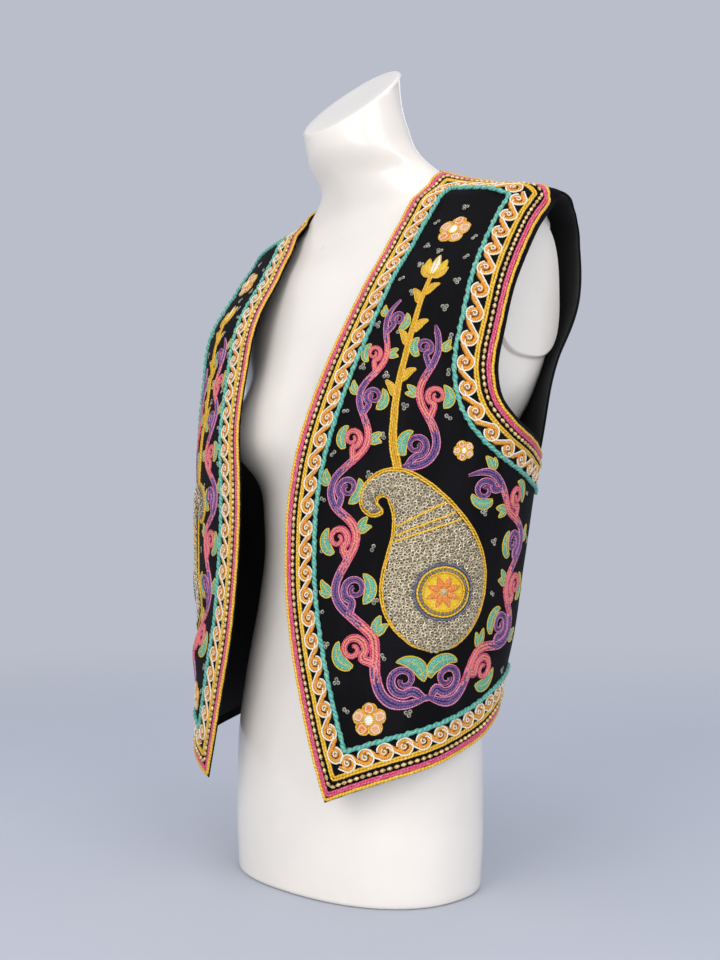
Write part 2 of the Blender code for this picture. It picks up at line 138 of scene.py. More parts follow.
FIGURE_ROWS = [Section(*row) for row in (
    (0.000, 0.136, -0.020, 0.092, 0.092, 2.3, 2.3),
    (0.060, 0.140, -0.020, 0.092, 0.094, 2.3, 2.3),
    (0.120, 0.140, -0.020, 0.090, 0.096, 2.3, 2.3),
    (0.200, 0.132, -0.016, 0.086, 0.092, 2.3, 2.3),
    (0.270, 0.121, -0.006, 0.087, 0.088, 2.3, 2.3),
    (0.320, 0.117, 0.002, 0.090, 0.086, 2.3, 2.3),
    (0.370, 0.122, 0.007, 0.094, 0.093, 2.3, 2.3),
    (0.420, 0.136, 0.014, 0.094, 0.100, 2.3, 2.3),
    (0.470, 0.170, 0.022, 0.096, 0.106, 2.3, 2.3),
    (0.520, 0.189, 0.030, 0.098, 0.106, 2.3, 2.3),
    (0.570, 0.198, 0.038, 0.096, 0.096, 2.2, 2.3),
    (0.620, 0.203, 0.046, 0.084, 0.076, 2.1, 2.2),
    (0.652, 0.203, 0.056, 0.076, 0.056, 2.0, 2.1),
    (0.662, 0.197, 0.057, 0.074, 0.050, 1.9, 2.0),
    (0.682, 0.146, 0.051, 0.0685, 0.044, 1.65, 1.9),
    (0.706, 0.084, 0.037, 0.0705, 0.042, 1.65, 2.0),
    (0.730, 0.063, 0.011, 0.068, 0.040, 2.0, 2.0),
    (0.760, 0.058, -0.007, 0.058, 0.044, 2.0, 2.0),
    (0.860, 0.055, -0.019, 0.050, 0.046, 2.0, 2.0),
)]
BUST = Bust(0.080, 0.436, 0.044, 0.050, 0.066, 0.032)

HANG_ROWS = [Section(*row) for row in (
    (0.080, 0.160, -0.040, 0.104, 0.130, 2.9, 2.1),
    (0.170, 0.163, -0.039, 0.105, 0.132, 2.7, 2.1),
    (0.240, 0.176, -0.034, 0.109, 0.144, 2.3, 2.1),
    (0.310, 0.188, -0.030, 0.111, 0.154, 2.1, 2.0),
    (0.380, 0.200, -0.026, 0.111, 0.156, 2.0, 2.0),
    (0.450, 0.212, -0.018, 0.110, 0.154, 2.0, 2.0),
    (0.510, 0.216, -0.004, 0.103, 0.146, 2.3, 2.2),
    (0.570, 0.216, 0.012, 0.090, 0.128, 3.0, 3.4),
    (0.620, 0.212, 0.034, 0.080, 0.102, 2.7, 3.6),
    (0.655, 0.2085, 0.054, 0.080, 0.072, 2.4, 3.0),
    (0.665, 0.206, 0.057, 0.079, 0.060, 2.2, 2.4),
    (0.674, 0.174, 0.055, 0.071, 0.052, 2.1, 2.2),
    (0.685, 0.140, 0.050, 0.060, 0.046, 2.0, 2.0),
    (0.697, 0.108, 0.046, 0.054, 0.045, 2.0, 2.0),
    (0.710, 0.078, 0.042, 0.050, 0.044, 2.0, 2.0),
    (0.722, 0.050, 0.040, 0.046, 0.044, 2.0, 2.0),
)]

FRONT_EDGE = [Gap(*row) for row in (
    (0.710, 0.0780), (0.703, 0.0862), (0.693, 0.0885), (0.665, 0.0830), (0.610, 0.0775),
    (0.559, 0.0735), (0.500, 0.0600), (0.451, 0.0500), (0.400, 0.0388), (0.345, 0.0338),
    (0.290, 0.0360), (0.235, 0.0445), (0.185, 0.0575), (0.142, 0.0700), (0.101, 0.0838),
)]
FRONT_ARMHOLE = [Stop(*row) for row in (
    (90.0, SHOULDER_HEIGHT), (86.8, 0.638), (84.1, 0.603), (81.7, 0.563), (81.2, 0.520),
    (82.0, 0.478), (84.6, 0.457), (89.6, 0.442), (97.0, 0.432), (106.0, 0.4245),
    (UNDERARM_BEARING, UNDERARM_HEIGHT),
)]
BACK_ARMHOLE = [Stop(*row) for row in (
    (90.0, SHOULDER_HEIGHT), (99.0, 0.655), (105.2, 0.644), (108.6, 0.624), (111.3, 0.593),
    (112.0, 0.542), (110.8, 0.489), (111.8, 0.450), (UNDERARM_BEARING, UNDERARM_HEIGHT),
)]
FRONT_HEM = [Stop(*row) for row in (
    (61.8, 0.123), (82.2, 0.1385), (99.7, 0.154), (110.8, 0.168),
    (SIDE_HEM_BEARING, SIDE_HEM_HEIGHT),
)]
BACK_HEM = [Stop(*row) for row in (
    (SIDE_HEM_BEARING, SIDE_HEM_HEIGHT), (145.0, 0.188), (180.0, 0.191),
)]
BACK_NECK = [Stop(*row) for row in (
    (90.0, NECK_POINT_HEIGHT), (112.0, 0.7078), (145.0, 0.7035), (180.0, 0.7025),
)]
# soft ridges (+) and troughs (-) of the hanging cloth
FOLDS = [Fold(*row) for row in (
    (-56.0, 0.262, 13.0, 0.022, -0.0055, 40.0),
    (-60.0, 0.222, 15.0, 0.020, 0.0045, 40.0),
    (-92.0, 0.270, 9.0, 0.085, -0.0045, -30.0),
    (96.0, 0.262, 10.0, 0.080, -0.0035, 45.0),
    (66.0, 0.595, 7.0, 0.045, -0.0030, -40.0),
    (-64.0, 0.600, 7.0, 0.050, -0.0030, 45.0),
    (150.0, 0.330, 8.0, 0.120, -0.0060, -25.0),
    (-158.0, 0.300, 7.0, 0.110, -0.0065, 22.0),
    (172.0, 0.260, 9.0, 0.090, 0.0050, 8.0),
    (-136.0, 0.350, 8.0, 0.100, 0.0045, 18.0),
)]

# small creases that the solids leave out
FINE_FOLDS = [Fold(*row) for row in (
    (-48.0, 0.285, 6.0, 0.012, -0.0022, 30.0),
    (-75.0, 0.245, 7.0, 0.014, -0.0020, 60.0),
    (52.0, 0.205, 8.0, 0.012, 0.0012, -60.0),
    (104.0, 0.395, 5.0, 0.040, -0.0018, 80.0),
    (-101.0, 0.400, 5.0, 0.040, -0.0018, -80.0),
    (74.0, 0.640, 5.0, 0.016, -0.0010, 60.0),
    (128.0, 0.300, 5.0, 0.070, -0.0030, -30.0),
    (139.0, 0.420, 5.0, 0.080, 0.0022, -60.0),
    (-128.0, 0.290, 5.0, 0.060, -0.0028, 35.0),
    (-146.0, 0.430, 5.0, 0.090, -0.0030, 55.0),
    (163.0, 0.380, 5.0, 0.100, 0.0026, -18.0),
    (176.0, 0.540, 9.0, 0.060, -0.0020, 15.0),
)]


# ---------------------------------------------------------------- smooth numbers
def hermite(stops: Array, values: Array, at: Array) -> Array:
    """Smooth curve through values at stops.

    A piecewise cubic whose slope at a stop is the weighted mean of the two chords, and zero
    where the values turn, so that it never swings past a highest or lowest value.

    Args:
        stops: growing positions of the values.
        values: the values.
        at: where the curve is read; it is held at the ends.

    Returns:
        The curve's values at `at`.
    """
    step = np.diff(stops)
    rise = np.diff(values) / step
    slope = np.empty_like(values)
    slope[0], slope[-1] = rise[0], rise[-1]
    slope[1:-1] = (rise[:-1] * step[1:] + rise[1:] * step[:-1]) / (step[:-1] + step[1:])
    slope[1:-1] = np.where(rise[:-1] * rise[1:] <= 0.0, 0.0, slope[1:-1])
    at = np.clip(np.asarray(at, float), stops[0], stops[-1])
    k = np.clip(np.searchsorted(stops, at, side="right") - 1, 0, len(stops) - 2)
    t = (at - stops[k]) / step[k]
    start = (1 + 2 * t) * (1 - t) ** 2 * values[k] + t * (1 - t) ** 2 * step[k] * slope[k]
    end = t * t * (3 - 2 * t) * values[k + 1] + t * t * (t - 1) * step[k] * slope[k + 1]
    return start + end


def larger(first: Array, second: Array, blend: float) -> Array:
    """The larger of two values, with a soft change over `blend` between them."""
    share = np.clip(0.5 + 0.5 * (first - second) / blend, 0.0, 1.0)
    return second * (1.0 - share) + first * share + blend * share * (1.0 - share)


def unit(vectors: Array) -> Array:
    """Vectors at length one."""
    return vectors / np.maximum(np.linalg.norm(vectors, axis=-1, keepdims=True), 1e-12)


def lengths_along(points: Array) -> Array:
    """Distance of each point from the first, along the line through them."""
    steps = np.linalg.norm(np.diff(points, axis=0), axis=1)
    return np.concatenate([[0.0], np.cumsum(steps)])


def vectors(*parts: Array) -> Array:
    """Numbers side by side as the parts of vectors."""
    return np.stack(parts, axis=-1)


def shares(count: int) -> Array:
    """Even numbers from 0 to 1."""
    return np.linspace(0.0, 1.0, count)


def rays(angle: Number) -> Array:
    """Unit vectors (cos, sin) at angles in radians."""
    return vectors(np.cos(angle), np.sin(angle))


def near_zero(angle: Array) -> Array:
    """The same angle between minus half a turn and half a turn."""
    return (angle + np.pi) % TAU - np.pi


def pairs(first: Array, second: Array) -> Array:
    """Net of pairs: a column for each of first, a row for each of second."""
    return np.stack(np.meshgrid(first, second), axis=-1)


def pick(line: Array, at: Number, along: Array | None = None) -> Array:
    """Points of a line at positions along it, counted in its points where none are given."""
    along = np.arange(len(line)) if along is None else along
    return np.stack([np.interp(at, along, column) for column in line.T], axis=-1)


def blend(table: Array, row: Array, column: Array) -> Array:
    """A table of numbers or vectors read between its knots, in proportion both ways."""
    i = np.clip(row.astype(int), 0, table.shape[0] - 2)
    j = np.clip(column.astype(int), 0, table.shape[1] - 2)
    spread = (...,) + (None,) * (table.ndim - 2)
    s, t = (row - i)[spread], (column - j)[spread]
    low = table[i, j] * (1 - s) + table[i + 1, j] * s
    high = table[i, j + 1] * (1 - s) + table[i + 1, j + 1] * s
    return low * (1 - t) + high * t


def joined(*lines: Array) -> Array:
    """Lines end to end, each shared place once."""
    return np.concatenate([lines[0]] + [line[1:] for line in lines[1:]])


def mirrored(line: Array) -> Array:
    """The same line on the other side of the back, its bearings counted on past it."""
    return vectors(TAU - line[..., 0], line[..., 1])


def smooth_path(knots: Array, count: int) -> Array:
    """Even points along a centripetal spline through the knots, in their own plane.

    Between two knots the point is the Catmull-Rom cubic of the four nearest knots; the end
    knots are repeated outwards by reflection.

    Args:
        knots: points that the line goes through.
        count: how many points it gets.

    Returns:
        The line's points.
    """
    first = 2 * knots[0] - knots[1]
    last = 2 * knots[-1] - knots[-2]
    k = np.vstack([first, knots, last])
    t = np.linspace(0.0, len(knots) - 1, 30 * len(knots))
    i = np.minimum(t.astype(int), len(knots) - 2)
    f = (t - i)[:, None]
    a, b, c, d = k[i], k[i + 1], k[i + 2], k[i + 3]
    dense = 0.5 * (2 * b + (c - a) * f + (2 * a - 5 * b + 4 * c - d) * f ** 2
                   + (3 * b - a - 3 * c + d) * f ** 3)
    along = lengths_along(dense)
    return pick(dense, np.linspace(0.0, along[-1], count), along)


# ---------------------------------------------------------------- form and cloth as maps
class Loft:
    """Rounded sections joined smoothly from one height to the next."""

    def __init__(self, rows: list[Section]) -> None:
        """Read the rows of a table, which grow in height."""
        self.heights = np.array([row.height for row in rows])
        self.columns = {name: np.array([getattr(row, name) for row in rows])
                        for name in Section._fields}

    def at(self, name: str, height: Array) -> Array:
        """A column of the table at any height."""
        return hermite(self.heights, self.columns[name], height)

    def radius(self, bearing: Array, height: Array) -> Array:
        """Distance from the centre line: (|sin|/width)^n + (|cos|/depth)^n to the power -1/n."""
        ahead = np.cos(bearing) >= 0.0
        depth = np.where(ahead, self.at("front", height), self.at("back", height))
        power = np.where(ahead, self.at("front_power", height), self.at("back_power", height))
        across = np.abs(np.sin(bearing)) / self.at("half_width", height)
        along = np.abs(np.cos(bearing)) / depth
        return (across ** power + along ** power) ** (-1.0 / power)


class Figure(Loft):
    """The dress form: its sections, the bust, the flat arm cuts and the slanted neck cut."""

    bust = BUST
    cut_blend = 0.005

    def radius(self, bearing: Array, height: Array) -> Array:
        """The section's radius plus the bust, a bell of |x| and height that faces forward."""
        radius = super().radius(bearing, height)
        off_x = (np.abs(radius * np.sin(bearing)) - self.bust.x) / self.bust.wide
        off_z = height - self.bust.height
        off_z = off_z / np.where(off_z > 0.0, self.bust.above, self.bust.below)
        facing = np.sqrt(np.clip(np.cos(bearing), 0.0, 1.0))
        return radius + self.bust.lift * facing * np.exp(-off_x ** 2 - off_z ** 2)

    def points(self, bearing: Array, height: Array) -> Array:
        """Points of the form, flat where the arms are cut, with a rounded rim there."""
        radius = self.radius(bearing, height)
        x = radius * np.sin(bearing)
        x = np.sign(x) * -larger(-np.abs(x), np.full_like(x, -ARM_CUT), self.cut_blend)
        y = self.at("centre_y", height) - radius * np.cos(bearing)
        return vectors(x, y, height + 0.0 * bearing)

    def reach(self, hang: Loft, bearing: Array, height: Array) -> Array:
        """Distance to the form from another loft's centre line, at a bearing round that line.

        The form's own bearing is found in ten steps that each take up most of the error.
        """
        shift = self.at("centre_y", height) - hang.at("centre_y", height)
        own = bearing * 1.0
        for _ in range(10):
            radius = self.radius(own, height)
            seen = np.arctan2(radius * np.sin(own), radius * np.cos(own) - shift)
            own = own + 0.8 * near_zero(bearing - seen)
        radius = self.radius(own, height)
        return np.hypot(radius * np.sin(own), radius * np.cos(own) - shift)


class Cloth:
    """The inner side of the hanging cloth, as a fine net that is read between its knots."""

    turns = 541
    lowest = 0.085
    highest = 0.7205
    levels = 430
    seat_blend = 0.002

    def __init__(self, figure: Figure, hang: Loft) -> None:
        """Work out the net: points, both tangents and the outward normal at every knot."""
        self.bearings = np.linspace(-np.pi, np.pi, self.turns)
        self.heights = np.linspace(self.lowest, self.highest, self.levels)
        bearing, height = np.meshgrid(self.bearings, self.heights, indexing="ij")
        radius = hang.radius(bearing, height) + self.folds(bearing, height)
        radius = larger(radius, figure.reach(hang, bearing, height) + SEAT, self.seat_blend)
        net = vectors(radius * np.sin(bearing),
                      hang.at("centre_y", height) - radius * np.cos(bearing), height)
        around = np.gradient(net, self.bearings, axis=0)
        upward = np.gradient(net, self.heights, axis=1)
        normal = unit(np.cross(around, upward))
        self.layers = np.concatenate([net, around, upward, normal], axis=-1)

    def folds(self, bearing: Array, height: Array) -> Array:
        """Sum of the folds: each is a bell across its leaning line and along it."""
        total = np.zeros_like(bearing)
        for fold in FOLDS + FINE_FOLDS:
            middle = np.radians(fold.bearing + fold.lean * (height - fold.height))
            across = near_zero(bearing - middle) / np.radians(fold.spread)
            along = (height - fold.height) / fold.reach
            total += fold.depth * np.exp(-across ** 2 - along ** 2)
        return total

    def read(self, place: Array) -> Array:
        """Point, tangents and normal at places: the net's values blended between knots."""
        turn = ((place[..., 0] + np.pi) % TAU) / TAU * (self.turns - 1)
        rise = (place[..., 1] - self.lowest) / (self.highest - self.lowest) * (self.levels - 1)
        return blend(self.layers, turn, np.clip(rise, 0.0, self.levels - 1.001))

    def at(self, place: Array, out: Number = 0.0) -> Array:
        """Points at places, moved out from the inner side of the cloth."""
        found = self.read(place)
        return found[..., 0:3] + found[..., 9:12] * np.asarray(out)[..., None]

    def normal(self, place: Array) -> Array:
        """Outward normals at places."""
        return unit(self.read(place)[..., 9:12])

    def walk(self, place: Array, heading: Array, distance: Number, hops: int = 5) -> Array:
        """Places reached by walking over the cloth along tangent headings.

        Each hop solves the two tangents' plane for the step in bearing and height.

        Args:
            place: where the walks start.
            heading: their directions in space.
            distance: how far each goes, in metres.
            hops: steps of each walk.

        Returns:
            Places.
        """
        place = place.copy()
        share = np.asarray(distance)[..., None] / hops
        for _ in range(hops):
            found = self.read(place)
            around, upward, normal = found[..., 3:6], found[..., 6:9], unit(found[..., 9:12])
            heading = unit(heading - normal * np.sum(heading * normal, axis=-1, keepdims=True))
            aa, au, uu, ah, uh = (np.sum(one * other, axis=-1) for one, other in (
                (around, around), (around, upward), (upward, upward), (around, heading),
                (upward, heading)))
            det = aa * uu - au * au
            step = vectors((ah * uu - uh * au) / det, (uh * aa - ah * au) / det)
            place = place + step * share
        return place

    def even(self, line: Array, count: int) -> Array:
        """The same line with count places, evenly spaced over the cloth."""
        along = lengths_along(self.at(line))
        return pick(line, np.linspace(0.0, along[-1], count), along)


# ---------------------------------------------------------------- how the vest is cut
@dataclass
class Cut:
    """The cut lines of the vest as lines of places on the cloth.

    fine and coarse count the places of a line before it is spaced evenly; near_radius turns
    a bearing into metres for spacing; neck_run is how far the blade line is read more finely.
    """

    cloth: Cloth
    fine: int = 300
    coarse: int = 120
    per_stop: int = 40
    halvings: int = 40
    near_radius: float = 0.18
    neck_run: float = 0.030

    def through(self, stops: list[Stop], count: int) -> Array:
        """Even places along a smooth line through a table of stops."""
        table = np.array([[math.radians(stop.bearing), stop.height] for stop in stops])
        along = lengths_along(table * np.array([self.near_radius, 1.0]))
        at = np.linspace(0.0, along[-1], self.per_stop * len(stops))
        line = np.stack([hermite(along, table[:, k].copy(), at) for k in (0, 1)], axis=-1)
        return self.cloth.even(line, count)

    def bearing_of(self, half_gap: Array, height: Array, behind: bool = False) -> Array:
        """Bearing at which the cloth stands half_gap from the middle plane, by halving.

        Args:
            half_gap: distances from the middle plane.
            height: their heights.
            behind: whether the line is on the back.

        Returns:
            Bearings on the wearer's left.
        """
        low = np.zeros_like(height)
        high = np.full_like(height, HALF_TURN)
        for _ in range(self.halvings):
            middle = 0.5 * (low + high)
            bearing = np.pi - middle if behind else middle
            short = self.cloth.at(vectors(bearing, height))[..., 0] < half_gap
            low = np.where(short, middle, low)
            high = np.where(short, high, middle)
        middle = 0.5 * (low + high)
        return np.pi - middle if behind else middle

    def front_edge(self, count: int) -> Array:
        """Front edge, from the neck point down to the hem point."""
        height = np.linspace(FRONT_EDGE[0].height, FRONT_EDGE[-1].height, self.fine)
        rows = FRONT_EDGE[::-1]
        half_gap = hermite(np.array([row.height for row in rows]),
                           np.array([row.half_gap for row in rows]), height)
        line = vectors(self.bearing_of(half_gap, height), height)
        line[0, 0] = HALF_TURN
        return self.cloth.even(line, count)

    def hem(self, count: int) -> Array:
        """Hem of a front, from the hem point to the side seam."""
        tip = self.front_edge(self.fine)[-1]
        return self.through([Stop(math.degrees(tip[0]), tip[1])] + FRONT_HEM, count)

    def shoulder(self, count: int) -> Array:
        """Shoulder seam, from the neck point to the shoulder tip."""
        height = np.linspace(NECK_POINT_HEIGHT, SHOULDER_HEIGHT, self.coarse)
        line = vectors(np.full_like(height, HALF_TURN), height)
        return self.cloth.even(line, count)

    def armhole(self, count: int) -> Array:
        """Front half of the armhole, from the shoulder tip to the underarm."""
        return self.through(FRONT_ARMHOLE, count)

    def side(self, count: int) -> Array:
        """Side seam, from the underarm to the hem."""
        return self.through([Stop(UNDERARM_BEARING, UNDERARM_HEIGHT),
                             Stop(SIDE_HEM_BEARING, SIDE_HEM_HEIGHT)], count)

    def blade(self, count: int) -> Array:
        """Line down the back from the neck point, which parts the shoulder from the middle."""
        near = NECK_POINT_HEIGHT - self.neck_run * shares(60) ** 2
        far = np.linspace(near[-1] - 0.002, BLADE_HEM_HEIGHT, 100)
        height = np.concatenate([near, far])
        spread = BLADE_SPREAD * (1.0 - np.exp((height - NECK_POINT_HEIGHT) / BLADE_TURN))
        half_gap = 0.9995 * FRONT_EDGE[0].half_gap + spread
        line = vectors(self.bearing_of(half_gap, height, True), height)
        line[0, 0] = HALF_TURN
        return self.cloth.even(line, count)

    def seam(self, line: Array, side: float) -> Array:
        """The line moved round by half a seam gap, towards side (+1 or -1)."""
        points = self.cloth.at(line)
        radius = np.hypot(points[:, 0], points[:, 1])
        return line + vectors(side * 0.5 * SEAM_GAP / radius, np.zeros(len(line)))

    def share(self, line: Array) -> Array:
        """How far along a line its places lie, from 0 to 1."""
        along = lengths_along(self.cloth.at(line))
        return along / along[-1]

    def patch(self, left: Array, right: Array, top: Array, bottom: Array) -> Array:
        """Four-sided net between its border lines: both rulings less the corners' ruling.

        Args:
            left: places down its left side.
            right: places down its right side.
            top: places along its top, from left to right.
            bottom: places along its bottom, from left to right.

        Returns:
            The net, rows by columns.
        """
        v = 0.5 * (self.share(left) + self.share(right))[:, None, None]
        u = 0.5 * (self.share(top) + self.share(bottom))[None, :, None]
        ruled = (1 - u) * left[:, None] + u * right[:, None]
        raised = (1 - v) * top[None] + v * bottom[None]
        corners = ((1 - u) * (1 - v) * top[0] + u * (1 - v) * top[-1]
                   + (1 - u) * v * bottom[0] + u * v * bottom[-1])
        return ruled + raised - corners

    def front_net(self, rows_above: int, rows_below: int, columns: int) -> Array:
        """Net of a front: rows from the shoulder down, columns from the front edge.

        Args:
            rows_above: rows above the underarm.
            rows_below: rows from the underarm down.
            columns: columns.

        Returns:
            The net's places.
        """
        side = self.seam(self.side(rows_below), -1.0)
        right = joined(self.armhole(rows_above), side)
        left = self.front_edge(rows_above + rows_below - 1)
        top = self.seam(self.shoulder(columns), -1.0)
        bottom = self.hem(columns)
        left[0], right[0], bottom[-1] = top[0], top[-1], right[-1]
        right[rows_above - 1] = side[0]
        return self.patch(left, right, top, bottom)

    def back_net(self, rows_above: int, rows_below: int, yoke: int, half_neck: int) -> Array:
        """Net of the back: rows from the shoulders down, columns from the wearer's left.

        Args:
            rows_above: rows above the underarm.
            rows_below: rows from the underarm down.
            yoke: columns under each shoulder.
            half_neck: columns under half of the neck.

        Returns:
            The net's places.
        """
        side = self.seam(self.side(rows_below), 1.0)
        left = joined(self.through(BACK_ARMHOLE, rows_above), side)
        left[rows_above - 1] = side[0]
        blade = self.blade(rows_above + rows_below - 1)
        shoulder = self.seam(self.shoulder(yoke)[::-1], 1.0)
        neck = self.through(BACK_NECK, half_neck)
        left[0], blade[0], neck[0] = shoulder[0], shoulder[-1], shoulder[-1]
        hem = self.through(BACK_HEM, 400)
        parting = int(np.argmin(np.abs(hem[:, 0] - blade[-1, 0])))
        hem[parting], hem[0] = blade[-1], left[-1]
        outer = self.patch(left, blade, shoulder, self.cloth.even(hem[:parting + 1], yoke))
        low = self.cloth.even(hem[parting:], half_neck)
        middle = self.patch(blade, mirrored(blade), joined(neck, mirrored(neck)[::-1]),
                            joined(low, mirrored(low)[::-1]))
        return np.concatenate([outer, middle[:, 1:-1], mirrored(outer)[:, ::-1]], axis=1)


# ---------------------------------------------------------------- meshes from whole arrays
def cells(net: Array) -> Array:
    """The four corners of every cell of a net, in order round it, on a third axis."""
    return np.stack([net[:-1, :-1], net[:-1, 1:], net[1:, 1:], net[1:, :-1]], axis=2)


def triads(first: Array, second: Array, length: Number, radius: Number) -> Array:
    """Three square axes for each copy: the first at its length, the others at the radius."""
    return np.stack([first * length, second * radius, np.cross(first, second) * radius], axis=1)


class MeshBag:
    """Grids and copies gathered into one object, each face corner with its own UV place."""

    def __init__(self) -> None:
        """Start with nothing in the bag."""
        self.points: list[Array] = []
        self.quads: list[Array] = []
        self.places: list[Array] = []
        self.finishes: list[Array] = []
        self.palette: list[Material] = []
        self.count = 0

    def add(self, finish: Material, points: Array, quads: Array, places: Array) -> None:
        """Add points, quads of their numbers, and a UV place for each corner of each quad."""
        if finish not in self.palette:
            self.palette.append(finish)
        self.points.append(points.reshape(-1, 3))
        self.quads.append(quads.reshape(-1, 4) + self.count)
        self.places.append(places.reshape(-1, 4, 2))
        self.finishes.append(np.full(quads.size // 4, self.palette.index(finish)))
        self.count += len(self.points[-1])

    def grid(self, finish: Material, net: Array, places: Array) -> None:
        """Add a net of points, rows by columns.

        Args:
            finish: the net's finish.
            net: points whose outer side has columns to the right and rows upward.
            places: their UV places; with a column more than the net, the net closes from its
                last column to its first.
        """
        number = np.arange(net.shape[0] * net.shape[1]).reshape(net.shape[:2])
        if places.shape[1] > net.shape[1]:
            number = np.concatenate([number, number[:, :1]], axis=1)
        self.add(finish, net, cells(number), cells(places))

    def copies(self, finish: Material, shape: "Small", spots: Array, axes: Array) -> None:
        """Add one small shape at many spots.

        Args:
            finish: the copies' finish.
            shape: the small shape, as shares of its three axes.
            spots: where the copies stand (c, 3).
            axes: each copy's three axes, with their lengths (c, 3, 3); the rows are the axes.
        """
        points = spots[:, None] + np.einsum("nk,ckx->cnx", shape.points, axes)
        number = shape.quads[None] + (np.arange(len(spots)) * len(shape.points))[:, None, None]
        self.add(finish, points, number,
                 np.broadcast_to(shape.places, (len(spots),) + shape.places.shape))

    def make(self, name: str, slot: str = "", sharp: float = 0.0) -> Thing:
        """The bag as one object on the body "root", smooth, with its normals outward."""
        points, quads, places, finishes = map(np.concatenate, (self.points, self.quads,
                                                               self.places, self.finishes))
        mesh = bpy.data.meshes.new(name)
        for kind, key, values, width in (
                (mesh.vertices, "co", points, 3),
                (mesh.loops, "vertex_index", quads.astype(np.int32), 1),
                (mesh.polygons, "loop_start", np.arange(0, quads.size, 4, dtype=np.int32), 1)):
            kind.add(values.size // width)
            kind.foreach_set(key, values.ravel())
        mesh.uv_layers.new(name="UVMap").uv.foreach_set("vector", places.ravel())
        mesh.polygons.foreach_set("material_index", finishes.astype(np.int32))
        mesh.update(calc_edges=True)
        mesh.validate(clean_customdata=False)
        mesh.polygons.foreach_set("use_smooth", np.ones(len(mesh.polygons), bool))
        if sharp:
            mesh.set_sharp_from_angle(angle=math.radians(sharp))
        for finish in self.palette:
            mesh.materials.append(finish)
        thing = shown(name, mesh)
        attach(thing, "root")
        LOG.info("%s: %d faces", name, len(quads))
        return thing


class Small:
    """A small turned shape: a profile of (along, radius) carried round its first axis."""

    def __init__(self, profile: list[Pair], sides: int, ring: bool = False) -> None:
        """Points (along, radius * cos, radius * sin); a ring's profile closes on itself."""
        turn = np.linspace(0.0, TAU, sides, endpoint=False)
        along, radius = np.array(profile + profile[:1] if ring else profile).T[:, :, None]
        net = vectors(along + 0.0 * turn, radius * np.cos(turn), radius * np.sin(turn))
        rows = len(net)
        number = np.arange(rows * sides).reshape(rows, sides)
        if ring:
            number[-1] = number[0]
            net = net[:-1]
        self.points = net.reshape(-1, 3)
        self.quads = cells(np.concatenate([number, number[:, :1]], axis=1)).reshape(-1, 4)
        self.places = cells(pairs(shares(sides + 1),
                                  shares(rows))).reshape(-1, 4, 2)


def shown(name: str, data: bpy.types.ID) -> Thing:
    """A new object with the data, in the scene."""
    thing = bpy.data.objects.new(name, data)
    bpy.context.scene.collection.objects.link(thing)
    return thing


def turned(finish: Material, net: Array, rise: Array) -> MeshBag:
    """A bag with one net closed round itself, its UV the share of a turn and each row's rise."""
    bag = MeshBag()
    bag.grid(finish, net, pairs(shares(net.shape[1] + 1), rise))
    return bag


# ---------------------------------------------------------------- shader tools
def operator(operation: str, reflected: bool = False) -> Callable[["Wire", object], "Wire"]:
    """A method that adds a Math node of the wire and another number, in that order or not."""
    def method(self: "Wire", other: "Wire | float") -> "Wire":
        """The Math node of both numbers."""
        both = (other, self) if reflected else (self, other)
        return self.shades.maths(operation, *both)
    return method


@dataclass(frozen=True)
class Wire:
    """A shader number, its tree and its socket: sums with it add Math nodes to the tree."""

    shades: "Shades"
    socket: Socket

    __add__, __radd__ = operator("ADD"), operator("ADD", True)
    __sub__, __rsub__ = operator("SUBTRACT"), operator("SUBTRACT", True)
    __mul__, __rmul__ = operator("MULTIPLY"), operator("MULTIPLY", True)

    def sine(self) -> "Wire":
        """Sine of this, in radians."""
        return self.shades.maths("SINE", self)

    def size(self) -> "Wire":
        """This without its sign."""
        return self.shades.maths("ABSOLUTE", self)

    def within(self, low: float, high: float) -> "Wire":
        """Soft step from 0 below low to 1 above high."""
        node = self.shades.node("ShaderNodeMapRange", {"interpolation_type": "SMOOTHSTEP"},
                                {"Value": self, "From Min": low, "From Max": high})
        return Wire(self.shades, node.outputs["Result"])


